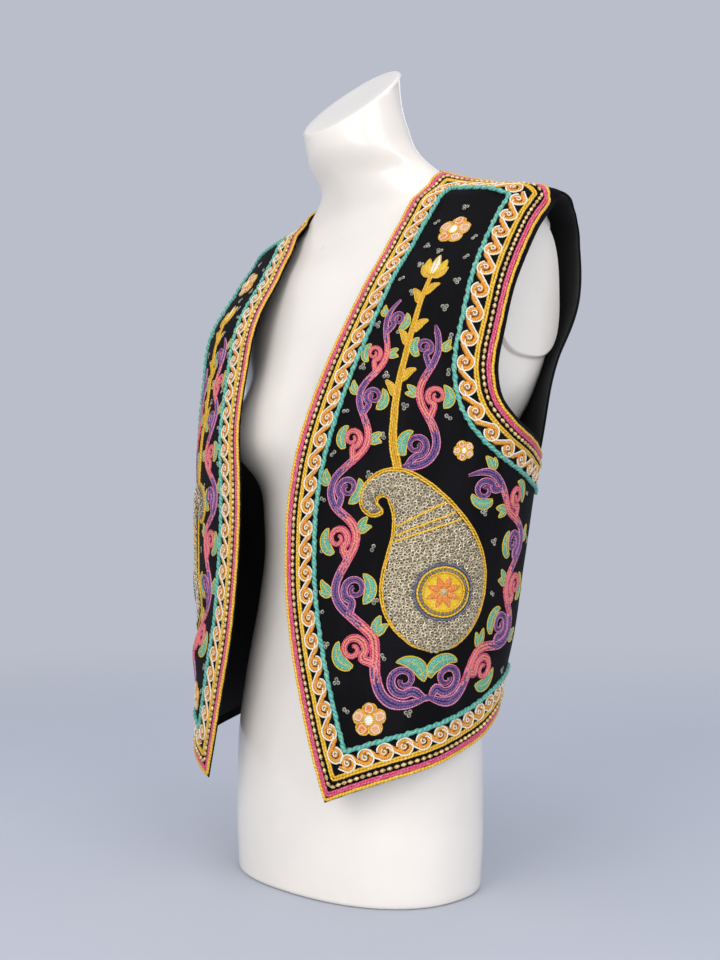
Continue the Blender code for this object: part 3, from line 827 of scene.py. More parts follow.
class Shades:
    """One material's node tree, with its shader."""

    def __init__(self, name: str, **constants: float | Colour) -> None:
        """Make the material and set the constants on its shader's own sockets."""
        self.material = bpy.data.materials.new(name)
        self.material.use_nodes = True
        self.tree = self.material.node_tree
        self.shader = self.tree.nodes["Principled BSDF"]
        for key, value in constants.items():
            self.put(self.shader.inputs[key.replace("_", " ")], value)

    def put(self, socket: Socket, value: object) -> None:
        """Set a socket to a number or colour, or link a wire or another socket to it."""
        if isinstance(value, Wire):
            value = value.socket
        if isinstance(value, Socket):
            self.tree.links.new(value, socket)
        elif isinstance(value, tuple) and socket.type == "RGBA":
            socket.default_value = value + (1.0,)
        else:
            socket.default_value = value

    def node(self, kind: str, settings: dict[str, object],
             inputs: dict[str | int, object]) -> bpy.types.Node:
        """Add a node.

        Args:
            kind: the node's type.
            settings: its own settings, which are set first.
            inputs: values or links of its sockets, by name or number.

        Returns:
            The node.
        """
        node = self.tree.nodes.new(kind)
        for key, value in settings.items():
            setattr(node, key, value)
        for key, value in inputs.items():
            self.put(node.inputs[key], value)
        return node

    def maths(self, operation: str, *values: Wire | float) -> Wire:
        """A Math node."""
        node = self.node("ShaderNodeMath", {"operation": operation}, dict(enumerate(values)))
        return Wire(self, node.outputs[0])

    def place(self) -> Socket:
        """Object coordinates."""
        return self.node("ShaderNodeTexCoord", {}, {}).outputs["Object"]

    def along(self) -> tuple[Wire, Wire]:
        """The two UV numbers: metres along, and share or metres across."""
        uv = self.node("ShaderNodeUVMap", {"uv_map": "UVMap"}, {}).outputs["UV"]
        parts = self.node("ShaderNodeSeparateXYZ", {}, {0: uv})
        return Wire(self, parts.outputs[0]), Wire(self, parts.outputs[1])

    def noise(self, scale: float, detail: float = 3.0, rough: float = 0.55,
              stretch: Triple = (1.0, 1.0, 1.0)) -> Wire:
        """Cloudy noise of about 0.5 on Object coordinates; scale is bumps in a metre."""
        where = self.node("ShaderNodeMapping", {}, {"Vector": self.place(), "Scale": stretch})
        node = self.node("ShaderNodeTexNoise", {}, {"Vector": where.outputs[0], "Scale": scale,
                                                     "Detail": detail, "Roughness": rough})
        return Wire(self, node.outputs["Fac"])

    def mix(self, share: Wire | float, first: object, second: object) -> Socket:
        """Colour between first and second by share."""
        node = self.node("ShaderNodeMix", {"data_type": "RGBA", "clamp_factor": True},
                         {0: share, 6: first, 7: second})
        return node.outputs[2]

    def finish(self, colour: object = None, rough: Wire | None = None, height: Wire | None = None,
               depth: float = 0.001, strength: float = 1.0) -> Material:
        """Link colour, roughness and a bump of the given depth in metres, and hand it over."""
        if colour is not None:
            self.put(self.shader.inputs["Base Color"], colour)
        if rough is not None:
            self.put(self.shader.inputs["Roughness"], rough)
        if height is not None:
            bump = self.node("ShaderNodeBump", {}, {"Height": height, "Distance": depth,
                                                    "Strength": strength})
            self.put(self.shader.inputs["Normal"], bump.outputs[0])
        return self.material


def linear(red: float, green: float, blue: float) -> Colour:
    """Screen colour from 0 to 255 as the light values a shader takes."""
    return tuple(part / 12.92 if part <= 0.04045 else ((part + 0.055) / 1.055) ** 2.4
                 for part in (red / 255.0, green / 255.0, blue / 255.0))


def shade(colour: Colour, share: float) -> Colour:
    """The colour made lighter or darker by a factor."""
    return tuple(min(part * share, 1.0) for part in colour)


# ---------------------------------------------------------------- finishes
@dataclass(frozen=True)
class Gloss:
    """White lacquer of the form, a little uneven, with faint scuffs."""

    name: str = "form gloss"
    colour: Colour = linear(248, 241, 230)

    def material(self) -> Material:
        """Lacquer: slow tint change, uneven polish and a faint orange-peel surface."""
        s = Shades(self.name, Coat_Weight=0.5, Coat_Roughness=0.12, IOR=1.48)
        tint = s.mix(s.noise(9.0).within(0.3, 0.7), shade(self.colour, 0.94), self.colour)
        scuff = s.noise(60.0, 6.0, 0.7).within(0.62, 0.78)
        tint = s.mix(scuff * 0.10, tint, linear(196, 190, 182))
        return s.finish(tint, 0.24 + 0.14 * s.noise(35.0) + 0.10 * scuff, s.noise(160.0, 2.0),
                        0.0008, 0.06)


@dataclass(frozen=True)
class Velvet:
    """Black short-pile velvet: dark base, crushed patches and a soft edge sheen."""

    name: str = "velvet"
    colour: Colour = linear(8, 7, 9)
    crushed: Colour = linear(22, 21, 25)

    def material(self) -> Material:
        """Pile: fine fibre noise in colour and bump, broad patches where it is brushed."""
        s = Shades(self.name, Sheen_Weight=0.05, Sheen_Roughness=0.35,
                   Sheen_Tint=linear(150, 146, 158), Specular_IOR_Level=0.10)
        brushed = s.noise(26.0, 4.0, 0.6, (1.0, 1.0, 0.45)).within(0.42, 0.66)
        pile = s.noise(2600.0, 2.0, 0.7)
        tint = s.mix(brushed * 0.5 + 0.25 * pile, self.colour, self.crushed)
        return s.finish(tint, 0.72 + 0.2 * pile, pile + 0.5 * s.noise(700.0, 2.0), 0.0006, 0.45)


@dataclass(frozen=True)
class Weave:
    """Black plain-woven cotton lining, read from the piece's own UV in metres."""

    name: str = "lining"
    colour: Colour = linear(24, 24, 27)
    pitch: float = 0.0009

    def material(self) -> Material:
        """Weave: height is |sin u| + |sin v| of the threads, with slubs of slow noise."""
        s = Shades(self.name, Sheen_Weight=0.1, Specular_IOR_Level=0.25)
        u, v = s.along()
        turn = math.pi / self.pitch
        thread = (u * turn).sine().size() * 0.5 + (v * turn).sine().size() * 0.5
        slub = s.noise(140.0, 3.0)
        # painted shade and light: the colour is darkened between the threads and lightened on
        # their crowns, following the weave's height; slubs add random tone
        tint = s.mix(thread * 0.6 + slub * 0.4, shade(self.colour, 0.55), shade(self.colour, 1.3))
        return s.finish(tint, 0.78 + 0.12 * slub, thread + slub * 0.4, 0.0004, 0.5)


@dataclass(frozen=True)
class Thread:
    """Laid or twisted thread: slanted strands along the piece, from its UV.

    The first UV number is metres along, the second the share of the way round or across.
    Both colours are screen colours from 0 to 255.
    """

    name: str
    colour: Colour
    fleck: Colour
    pitch: float = 0.0022
    slant: float = 1.0
    contrast: float = 0.55
    metal: float = 0.0
    rough: float = 0.45

    def material(self) -> Material:
        """Strands: a sine of (along/pitch + slant * across), lower between them and painted darker
        there as shade.
        """
        s = Shades(self.name, Metallic=self.metal, Sheen_Weight=0.04, Specular_IOR_Level=0.4)
        colour, fleck = linear(*self.colour), linear(*self.fleck)
        u, v = s.along()
        strand = ((u * (1.0 / self.pitch) + v * self.slant) * (2.0 * math.pi)).sine() * 0.5 + 0.5
        worn = s.noise(420.0, 3.0)
        # painted shade and light: the colour is darkened in the grooves between strands and
        # lightened on their crowns; the worn noise adds random tone
        tint = s.mix(strand * 0.75 + worn * 0.35, shade(colour, 1.0 - self.contrast),
                     shade(colour, 1.12))
        tint = s.mix(s.noise(24.0).within(0.45, 0.75) * 0.35, tint, shade(colour, 0.72))
        tint = s.mix(s.noise(620.0, 2.0).within(0.52, 0.68) * 0.6, tint, fleck)
        return s.finish(tint, self.rough + 0.25 * (1.0 - strand) * worn, strand + 0.35 * worn,
                        0.0005, 0.8)


@dataclass(frozen=True)
class Shine:
    """Beads and sequins: a bright small part with uneven tarnish and painted sparkle, in screen
    colours.
    """

    name: str
    colour: Colour
    tarnish_and_dim_sparkle: Colour
    metal: float = 0.9
    rough: float = 0.25
    coat: float = 0.0

    def material(self) -> Material:
        """Shine: tint (tarnish and painted sparkle) and roughness change from one small part to
        the next.
        """
        s = Shades(self.name, Metallic=self.metal, Coat_Weight=self.coat, Coat_Roughness=0.1)
        # painted sparkle, with tarnish: random patches about a sequin wide dim the bright colour,
        # standing in for sequins and beads that miss the light
        patch = s.noise(300.0, 2.0, 0.6).within(0.38, 0.66)
        tint = s.mix(patch * 0.7, linear(*self.colour), linear(*self.tarnish_and_dim_sparkle))
        return s.finish(tint, self.rough + 0.22 * patch, s.noise(1500.0, 2.0), 0.0003, 0.25)


@dataclass(frozen=True)
class Backdrop:
    """Plain pale floor that fades into the surroundings away from the form."""

    name: str = "floor"
    colour: Colour = linear(204, 208, 217)
    full: float = 0.7
    gone: float = 3.0

    def material(self) -> Material:
        """Floor: two close tints; opacity falls with the distance from the middle, from UV."""
        s = Shades(self.name, Specular_IOR_Level=0.15)
        grain = s.noise(7.0, 3.0)
        _, reach = s.along()
        s.put(s.shader.inputs["Alpha"], 1.0 - reach.within(self.full, self.gone))
        return s.finish(s.mix(grain, shade(self.colour, 0.97), self.colour), 0.75 + 0.1 * grain)


# ---------------------------------------------------------------- where the needlework goes
def crossing(first: Array, second: Array) -> Pair:
    """Where two lines of places cross, nearest the first's end and the second's start.

    Every pair of steps p + t r and q + u s is solved at once: t = (q-p) x s / r x s.

    Args:
        first: places of a line that ends near the crossing.
        second: places of a line that starts near it.

    Returns:
        The crossing on each line, counted in its points.
    """
    p, r = first[:-1, None], np.diff(first, axis=0)[:, None]
    q, s = second[None, :-1], np.diff(second, axis=0)[None]
    turn = r[..., 0] * s[..., 1] - r[..., 1] * s[..., 0]
    turn = np.where(np.abs(turn) < 1e-15, 1e-15, turn)
    gap = q - p
    t = (gap[..., 0] * s[..., 1] - gap[..., 1] * s[..., 0]) / turn
    u = (gap[..., 0] * r[..., 1] - gap[..., 1] * r[..., 0]) / turn
    hits = np.argwhere((t >= 0.0) & (t <= 1.0) & (u >= 0.0) & (u <= 1.0))
    i, j = hits[np.argmin(hits[:, 1] - hits[:, 0])]
    return i + t[i, j], j + u[i, j]


class Side(Enum):
    """Sides of the border, in the order in which it runs."""

    HEM = 0
    FRONT = 1
    SHOULDER = 2
    ARMHOLE = 3


class Strip:
    """The band along the free edges of the left front.

    It runs from the side seam along the hem to the front point, up the front edge, along the
    shoulder and down the armhole.  Each side is a table of lines that lie further and further
    from its edge, and neighbours meet where their lines cross.
    """

    points = 420
    margins = (0.0002, 0.0002, 0.0170, 0.0040)
    depths = np.linspace(0.0, 0.044, 15)
    reach = 0.30

    def __init__(self, cloth: Cloth, cut: Cut) -> None:
        """Work out the tables and where their lines meet."""
        self.cloth = cloth
        count = self.points
        edges = (cut.hem(count)[::-1], cut.front_edge(count)[::-1], cut.shoulder(count),
                 cut.armhole(count))
        self.tables = [self.inset(edge, margin) for edge, margin in zip(edges, self.margins)]
        seam = cut.side(count) - np.array([0.0045, 0.0])
        close = self.stretched(seam)
        self.ends = np.zeros((len(Side), len(self.depths), 2))
        for k in range(len(self.depths)):
            lines = [close] + [table[k] for table in self.tables] + [close]
            for n in range(len(lines) - 1):
                last, first = crossing(lines[n], lines[n + 1])
                if n > 0:
                    self.ends[n - 1, k, 1] = last
                if n < len(Side):
                    self.ends[n, k, 0] = first

    def stretched(self, line: Array) -> Array:
        """The line with straight ends added, each a share of its length."""
        more = np.arange(1, int(self.reach * len(line)))[:, None]
        before = line[0] + (line[0] - line[1]) * more[::-1]
        after = line[-1] + (line[-1] - line[-2]) * more
        return np.concatenate([before, line, after])

    def inset(self, edge: Array, margin: float) -> Array:
        """Lines at the margin plus each depth: the edge walked square to itself, inward."""
        points = self.cloth.at(edge)
        heading = np.cross(unit(np.gradient(points, axis=0)), self.cloth.normal(edge))
        line = self.cloth.walk(edge, heading, margin)
        lines = [line]
        for step in np.diff(self.depths):
            line = self.cloth.walk(line, heading, step, 2)
            lines.append(line)
        return np.stack([self.stretched(line) for line in lines])

    def level(self, side: Side, depth: float) -> tuple[Array, float, float]:
        """One side's line at a depth, with its two meeting positions."""
        at = np.interp(depth, self.depths, np.arange(len(self.depths)))
        k = min(int(at), len(self.depths) - 2)
        table = self.tables[side.value]
        line = table[k] * (1 - at + k) + table[k + 1] * (at - k)
        start, end = (self.ends[side.value, k] * (1 - at + k)
                      + self.ends[side.value, k + 1] * (at - k))
        return line, start, end

    def line(self, side: Side, depth: float, count: int = 400) -> Array:
        """Places along one side at a depth, from corner to corner."""
        line, start, end = self.level(side, depth)
        return self.cloth.even(pick(line, np.linspace(start, end, count)), count)

    def path(self, depth: float, spacing: float) -> Array:
        """Places at a depth along all four sides, with corners rounded over a few millimetres."""
        whole = joined(*[self.line(side, depth) for side in Side])
        length = lengths_along(self.cloth.at(whole))[-1]
        path = self.cloth.even(whole, int(length / 0.0011))
        for _ in range(3):
            path[1:-1] = 0.25 * path[:-2] + 0.5 * path[1:-1] + 0.25 * path[2:]
        return self.cloth.even(path, int(length / spacing))

    def spots(self, side: Side, middle: float, along: Array, depth: Array) -> Array:
        """Places by distance along a side's line at one depth, and depth from the edge.

        Args:
            side: which side.
            middle: depth of the line on which distances are measured, from its first corner.
            along: distances.
            depth: distances from the edge.

        Returns:
            Places.
        """
        line, start, end = self.level(side, middle)
        number = np.linspace(start - 30, end + 30, 900)
        length = lengths_along(self.cloth.at(pick(line, number)))
        length -= np.interp(start, number, length)
        column = np.interp(along, length, number)
        row = np.interp(depth, self.depths, np.arange(len(self.depths)))
        return blend(self.tables[side.value].swapaxes(0, 1), column, row)

    def length(self, side: Side, depth: float) -> float:
        """Length of one side at a depth, from corner to corner."""
        return float(lengths_along(self.cloth.at(self.line(side, depth)))[-1])


class Chart:
    """Flat map of the left front: metres round the body and metres up its middle line.

    The middle line has a bearing at each of a few heights; the level lines reach a fixed
    turn to both sides of it.
    """

    middle_heights = np.array([0.09, 0.40, 0.56, 0.715])
    middle_bearings = np.array([71.0, 71.0, 64.0, 64.0])
    levels = 260
    half_columns = 125
    half_turn = 1.25
    metres = np.linspace(-0.22, 0.22, 221)

    def __init__(self, cloth: Cloth) -> None:
        """Measure the middle line and the level lines on both sides of it."""
        ends = self.middle_heights[[0, -1]]
        self.heights = np.linspace(*ends, self.levels)
        middle = np.radians(hermite(self.middle_heights, self.middle_bearings, self.heights))
        self.rise = lengths_along(cloth.at(vectors(middle, self.heights)))
        offsets = np.linspace(-self.half_turn, self.half_turn, 2 * self.half_columns + 1)
        bearing = middle[:, None] + offsets
        level = vectors(bearing, self.heights[:, None] + 0.0 * bearing)
        steps = np.linalg.norm(np.diff(cloth.at(level), axis=1), axis=-1)
        around = np.concatenate([np.zeros((self.levels, 1)), np.cumsum(steps, axis=1)], axis=1)
        around -= around[:, self.half_columns, None]
        self.bearings = np.stack([np.interp(self.metres, row, offsets)
                                  for row in around]) + middle[:, None]

    def place(self, spot: Array) -> Array:
        """Places of spots (metres round, metres up)."""
        row = np.interp(spot[..., 1], self.rise, np.arange(len(self.rise)))
        column = (spot[..., 0] - self.metres[0]) / (self.metres[1] - self.metres[0])
        height = np.interp(spot[..., 1], self.rise, self.heights)
        return vectors(blend(self.bearings.T, column, row), height)


# ---------------------------------------------------------------- the dress form
@dataclass
class DressForm:
    """The headless, armless form: one closed skin, and a rounded plate on each arm cut."""

    figure: Figure
    turns: int = 144
    levels: int = 150
    plate_thick: float = 0.0060
    plate_y: float = 0.040
    plate_z: float = 0.579
    plate_half_depth: float = 0.051
    plate_half_height: float = 0.071
    plate_squareness: float = 0.70
    plate_round: float = 0.0016
    plate_mean: float = 0.055
    plate_turns: int = 96
    cap_shares: Row = (0.25, 0.5, 0.75, 0.93, 0.999)
    cut_rings: int = 14
    base_round: float = 0.004
    cut_round: float = 0.003

    def skin(self, gloss: Material) -> MeshBag:
        """Rings of the figure from the flat base up, the last ones bent to the slanted cut.

        The cut is a plane: height = middle + slope * (y - axis).  Its rim and the base's rim
        are drawn in by quarter circles, and both ends close to a point.
        """
        turn = np.linspace(0.0, TAU, self.turns, endpoint=False)
        level = np.linspace(0.0, CHIN_HEIGHT, self.levels)
        rings = [self.figure.points(*np.meshgrid(turn, level))]
        for share in shares(self.cut_rings)[1:]:
            height = np.full_like(turn, NECK_CUT_MIDDLE)
            for _ in range(8):
                y = self.figure.at("centre_y", height)
                y = y - self.figure.radius(turn, height) * np.cos(turn)
                cut = NECK_CUT_MIDDLE + NECK_CUT_SLOPE * (y - NECK_CUT_AXIS)
                height = CHIN_HEIGHT + share * (cut - CHIN_HEIGHT)
            rings.append(self.figure.points(turn, height)[None])
        skin = np.concatenate(rings)
        low = self.cap(skin[0], np.array([0.0, 0.0, -1.0]), self.base_round)[::-1]
        up = unit(np.array([0.0, -NECK_CUT_SLOPE, 1.0]))
        high = self.cap(skin[-1], up, self.cut_round)
        net = np.concatenate([low, skin[1:-1], high])
        return turned(gloss, net, shares(len(net)))

    def cap(self, rim: Array, out: Array, rounding: float) -> Array:
        """Rings that turn from the skin over a quarter circle and close on the rim's middle."""
        middle = rim.mean(axis=0)
        inward = unit(middle - rim)
        turn = np.linspace(0.0, HALF_TURN, 5)[:, None, None]
        bend = (rim + inward * rounding * (1.0 - np.cos(turn))
                - out * rounding * (1.0 - np.sin(turn)))
        share = np.array(self.cap_shares)[:, None, None]
        return np.concatenate([bend, bend[-1] + (middle - bend[-1]) * share])

    def plate(self, gloss: Material, hand: float) -> MeshBag:
        """Oval plate: the rim curve swept through a rounded edge, closed on both faces.

        The rim is (|cos t|, |sin t|) to the power of its squareness, with their signs; hand
        is +1 for the left plate and -1 for the right one.
        """
        rim = rays(np.linspace(0.0, TAU, self.plate_turns, endpoint=False))
        y, z = (np.sign(rim) * np.abs(rim) ** self.plate_squareness).T
        bend = np.linspace(0.0, HALF_TURN, 6)
        r = self.plate_round
        depth = np.concatenate([[0.0, 0.0], self.plate_thick - r + r * np.sin(bend),
                                [self.plate_thick] * 3])
        draw = np.concatenate([[0.999, 0.0], (r - r * np.cos(bend)) / self.plate_mean,
                               [0.3, 0.7, 0.999]])
        scale = 1.0 - draw[:, None]
        net = vectors(hand * (ARM_CUT + PLY_GAP + depth[:, None] + 0.0 * y),
                      self.plate_y + self.plate_half_depth * scale * y,
                      self.plate_z + self.plate_half_height * scale * z)
        return turned(gloss, net[:, ::int(hand)], draw)

    def build(self, gloss: Material) -> None:
        """Make the skin and the two plates."""
        form = self.skin(gloss).make("dress_form", "form_gloss", 40.0)
        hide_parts("form")
        for label, hand in HANDS:
            plate = self.plate(gloss, hand).make(f"arm_cut_plate_{label}", "form_gloss", 50.0)
            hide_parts(f"arm_plate_{label}")


# ---------------------------------------------------------------- velvet and lining
@dataclass
class Panels:
    """The cut pieces of the vest: a closed velvet shell and a lining under each."""

    cloth: Cloth
    cut: Cut
    rows_above: int = 92
    rows_below: int = 56
    columns: int = 66
    yoke: int = 32
    half_neck: int = 27
    front_flat: Pair = (0.30, 0.62)
    back_flat: Pair = (0.46, 0.55)
    rim_roll: Triple = (0.55, 0.92, 1.0)
    mean_radius: float = 0.20

    def shell(self, finish: Material, place: Array, near: float,
              far: float) -> MeshBag:
        """A wall between two heights over the cloth, with a rim that rolls over.

        Args:
            finish: its finish.
            place: its net of places.
            near: height of its inner side.
            far: height of its outer side.

        Returns:
            The closed wall.
        """
        to_rim = [np.minimum(np.arange(n), np.arange(n)[::-1]) for n in place.shape[:2]]
        roll = np.interp(np.minimum.outer(*to_rim), [0, 1, 2], self.rim_roll)
        found = self.cloth.read(place)
        points, normal = found[..., 0:3], unit(found[..., 9:12])
        outer = points + normal * (near + (far - near) * roll)[..., None]
        inner = points + normal * near
        metres = place * np.array([self.mean_radius, 1.0])
        bag = MeshBag()
        bag.grid(finish, outer[::-1], metres[::-1])
        bag.grid(finish, inner, metres)
        for outer_rim, inner_rim in ((outer[:, 0], inner[:, 0]), (outer[-1], inner[-1]),
                                     (outer[::-1, -1], inner[::-1, -1]),
                                     (outer[0, ::-1], inner[0, ::-1])):
            bag.grid(finish, np.stack([outer_rim, inner_rim]),
                     pairs(lengths_along(outer_rim), [0.0, far - near]))
        return bag

    def ply(self, label: str, node: str, finish: Material, slot: str, place: Array,
            near: float, far: float) -> None:
        """Make one ply and declare its cut.

        Args:
            label: its name.
            node: the solid that it stands for.
            finish: its finish.
            slot: not used.
            place: its net of places.
            near: height of its inner side over the cloth's inner side.
            far: height of its outer side.
        """
        piece = self.shell(finish, place, near, far).make(label, slot, 60.0)
        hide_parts(node)
        self.area(place)

    def build(self, velvet: Material, lining: Material) -> None:
        """Make both fronts and the back, each with a lining two rows and columns smaller."""
        front = self.cut.front_net(self.rows_above, self.rows_below, self.columns)
        back = self.cut.back_net(self.rows_above, self.rows_below, self.yoke, self.half_neck)
        right = (front * np.array([-1.0, 1.0]))[:, ::-1]
        for name, place, free, flat in (
                ("front_left", front, slice(2, None), self.front_flat),
                ("front_right", right, slice(None, -2), self.front_flat),
                ("back", back, slice(None), self.back_flat)):
            self.ply(f"velvet_{name}", name, velvet, "velvet", place, VELVET_INNER, VELVET_TOP)
            self.ply(f"lining_ply_{name}", f"lining_{name}", lining, "lining",
                     place[:-2, free], 0.0, LINING)

    def area(self, place: Array) -> float:
        """Area of a net of places: half the cross product of each cell's diagonals, summed."""
        net = self.cloth.at(place)
        cross = np.cross(net[1:, 1:] - net[:-1, :-1], net[1:, :-1] - net[:-1, 1:])
        return float(0.5 * np.linalg.norm(cross, axis=-1).sum())


# ---------------------------------------------------------------- needlework
class Silk(Enum):
    """Threads of the needlework.

    Each row gives the finish's name, its colour and fleck, and then, as far as they differ
    from the usual, its pitch, slant, groove shade (the painted shade between strands), metal
    and roughness.
    """

    GOLD = Thread("gold cord", (246, 190, 40), (255, 232, 140), 0.0034, 1.0, 0.40, 0.20, 0.36)
    GOLD_FILL = Thread("gold couching", (238, 184, 40), (255, 228, 130), 0.0013, 0.0, 0.40, 0.20,
                       0.40)
    PINK = Thread("pink chain stitch", (236, 82, 128), (255, 180, 196), 0.0030, 1.6)
    SCROLL = Thread("apricot satin stitch", (252, 160, 42), (255, 214, 130), 0.0016, 0.6, 0.42)
    CREAM = Thread("cream cord", (255, 250, 230), (255, 232, 190), 0.0018, 1.0, 0.20)
    TEAL = Thread("turquoise rope", (92, 186, 172), (200, 220, 150), 0.0046, 2.0, 0.55)
    LEAF = Thread("turquoise satin stitch", (92, 190, 170), (228, 212, 96), 0.0015, 0.8, 0.55)
    DEEP = Thread("deep purple chain stitch", (104, 74, 134), (176, 136, 190), 0.0030, 1.6, 0.45)
    ROSE = Thread("rose chain stitch", (242, 136, 132), (250, 184, 100), 0.0030, 1.6, 0.40)
    BLUSH = Thread("pale pink cord", (240, 140, 180), (255, 206, 220), 0.0022, 1.0)
    YELLOW = Thread("yellow satin stitch", (252, 204, 36), (255, 236, 140), 0.0013, 0.4, 0.30)
    ORANGE = Thread("orange satin stitch", (244, 140, 58), (255, 206, 150), 0.0013, 0.4, 0.38)
    PEACH = Thread("peach satin stitch", (248, 174, 116), (255, 226, 190), 0.0013, 0.4, 0.35)
    SLATE = Thread("slate cord", (96, 106, 136), (170, 176, 196), 0.0020)
    SILVER = Thread("silver thread", (150, 140, 120), (210, 204, 186), 0.0016, 1.0, 0.5, 0.5, 0.35)


class Spark(Enum):
    """Beads and sequins: name, colour, tarnish and painted dim sparkle, metal, roughness and coat.
    """

    BEAD = Shine("cream gold bead", (246, 216, 146), (140, 104, 50), 0.40, 0.28, 0.4)
    SEQUIN = Shine("silver sequin", (248, 234, 202), (134, 118, 88), 0.50, 0.25)
    DULL = Shine("dull sequin", (206, 200, 184), (96, 92, 84), 0.55, 0.26)
    STEEL = Shine("slate bead", (126, 140, 170), (70, 78, 104), 0.5, 0.25, 0.3)


@cache
def finish_of(choice: Enum) -> Material:
    """The one material of a thread or bead."""
    return choice.value.material()


BICONE = Small([(-1.0, 0.02), (-0.95, 0.42), (-0.15, 1.0), (0.15, 1.0), (0.95, 0.42),
                (1.0, 0.02)], 6)
ROUND = Small([(-1.0, 0.02), (-0.7, 0.7), (0.0, 1.0), (0.7, 0.7), (1.0, 0.02)], 8)
KNOT = Small([(-0.2, 0.02), (-0.1, 0.95), (0.16, 0.95), (0.32, 0.5), (0.36, 0.02)], 8)
DISC = Small([(0.0, 0.22), (-0.06, 0.92), (0.16, 1.0)], 8, ring=True)


@dataclass
class Needle:
    """Lays threads, pads, beads and sequins on one side of the vest.

    Places are those of the left front; the right front takes them with bearings reversed.
    hand is +1 for the left front and -1 for the right; laid tells one cord's sway from the
    next one's.  rates are in radians a metre, for the two sways and the swell of a cord; the
    sway and the swells are shares of its half width.
    """

    cloth: Cloth
    hand: float
    bag: MeshBag = field(default_factory=MeshBag)
    laid: float = 0.0
    rates: Triple = (330.0, 910.0, 1270.0)
    sway: float = 0.11
    swell: float = 0.06
    strand: float = 0.24

    def stand(self, place: Array, lift: Number) -> tuple[Array, Array]:
        """Points at a height over the velvet, and the normals there."""
        found = self.cloth.read(place * np.array([self.hand, 1.0]))
        normal = unit(found[..., 9:12])
        return found[..., 0:3] + normal * (VELVET_TOP + np.asarray(lift))[..., None], normal

    def cord(self, silk: Silk, line: Array, half_width: Number, half_height: float,
             lift: float = 0.0, sides: int = 5, twist: float = 0.0) -> None:
        """Lay a cord along places, with the slight sway and swell of handwork.

        Each ring is centre + side * half_width * cos t + normal * half_height * sin t, and the
        ends close to a point.  A twisted cord swells by a quarter where cos 2(t - pi along /
        twist) is high, as two laid strands do.

        Args:
            silk: the thread.
            line: places along the cord.
            half_width: half its width, for each place or for all.
            half_height: half its height.
            lift: height of its middle over the velvet.
            sides: faces round it.
            twist: length of a turn of its strands, or 0 for none.
        """
        centre, normal = self.stand(line, lift)
        along = lengths_along(centre)
        side = unit(np.cross(unit(np.gradient(centre, axis=0)), normal))
        turn = -np.linspace(0.0, TAU, sides, endpoint=False)
        width = np.broadcast_to(half_width, len(line))[:, None]
        self.laid += 1.7
        slow, quick, swell_rate = (along * rate for rate in self.rates)
        sway = np.sin(slow + self.laid) + 0.7 * np.sin(quick + 2.3 * self.laid)
        centre = centre + side * width * (self.sway * sway)[:, None]
        width = width * (1.0 + self.swell * np.sin(swell_rate + self.laid))[:, None]
        swell = np.ones((len(line), sides))
        if twist:
            swell += self.strand * np.cos(2.0 * turn - TAU * along[:, None] / twist)
        across = (swell * width * np.cos(turn))[..., None] * side[:, None]
        upward = (swell * half_height * np.sin(turn))[..., None] * normal[:, None]
        spread = across + upward
        net = np.concatenate([centre[:1, None] + 0.02 * spread[:1], centre[:, None] + spread,
                              centre[-1:, None] + 0.02 * spread[-1:]])
        along = np.concatenate([along[:1], along, along[-1:]])
        places = pairs(shares(sides + 1), along)[..., ::-1]
        self.bag.grid(finish_of(silk), net, places)

    def beads(self, spark: Spark, shape: Small, line: Array, length: float, radius: float,
              lift: float) -> None:
        """Set a bead at every place of a line, its long axis along the line."""
        centre, normal = self.stand(line, lift)
        along = unit(np.gradient(centre, axis=0))
        self.bag.copies(finish_of(spark), shape, centre,
                        triads(along, unit(np.cross(along, normal)), length, radius))

    def dots(self, spark: Spark | Silk, place: Array, radius: float, lift: float,
             shape: Small = ROUND) -> None:
        """Set round beads or knots at places, their axis upright."""
        centre, normal = self.stand(place, lift)
        self.bag.copies(finish_of(spark), shape, centre,
                        triads(normal, unit(np.cross(normal, [0.0, 0.0, 1.0])), radius, radius))

    def make(self, name: str) -> Thing:
        """The bag so far as one object, and a new bag."""
        thing = self.bag.make(name)
        self.bag = MeshBag()
        return thing


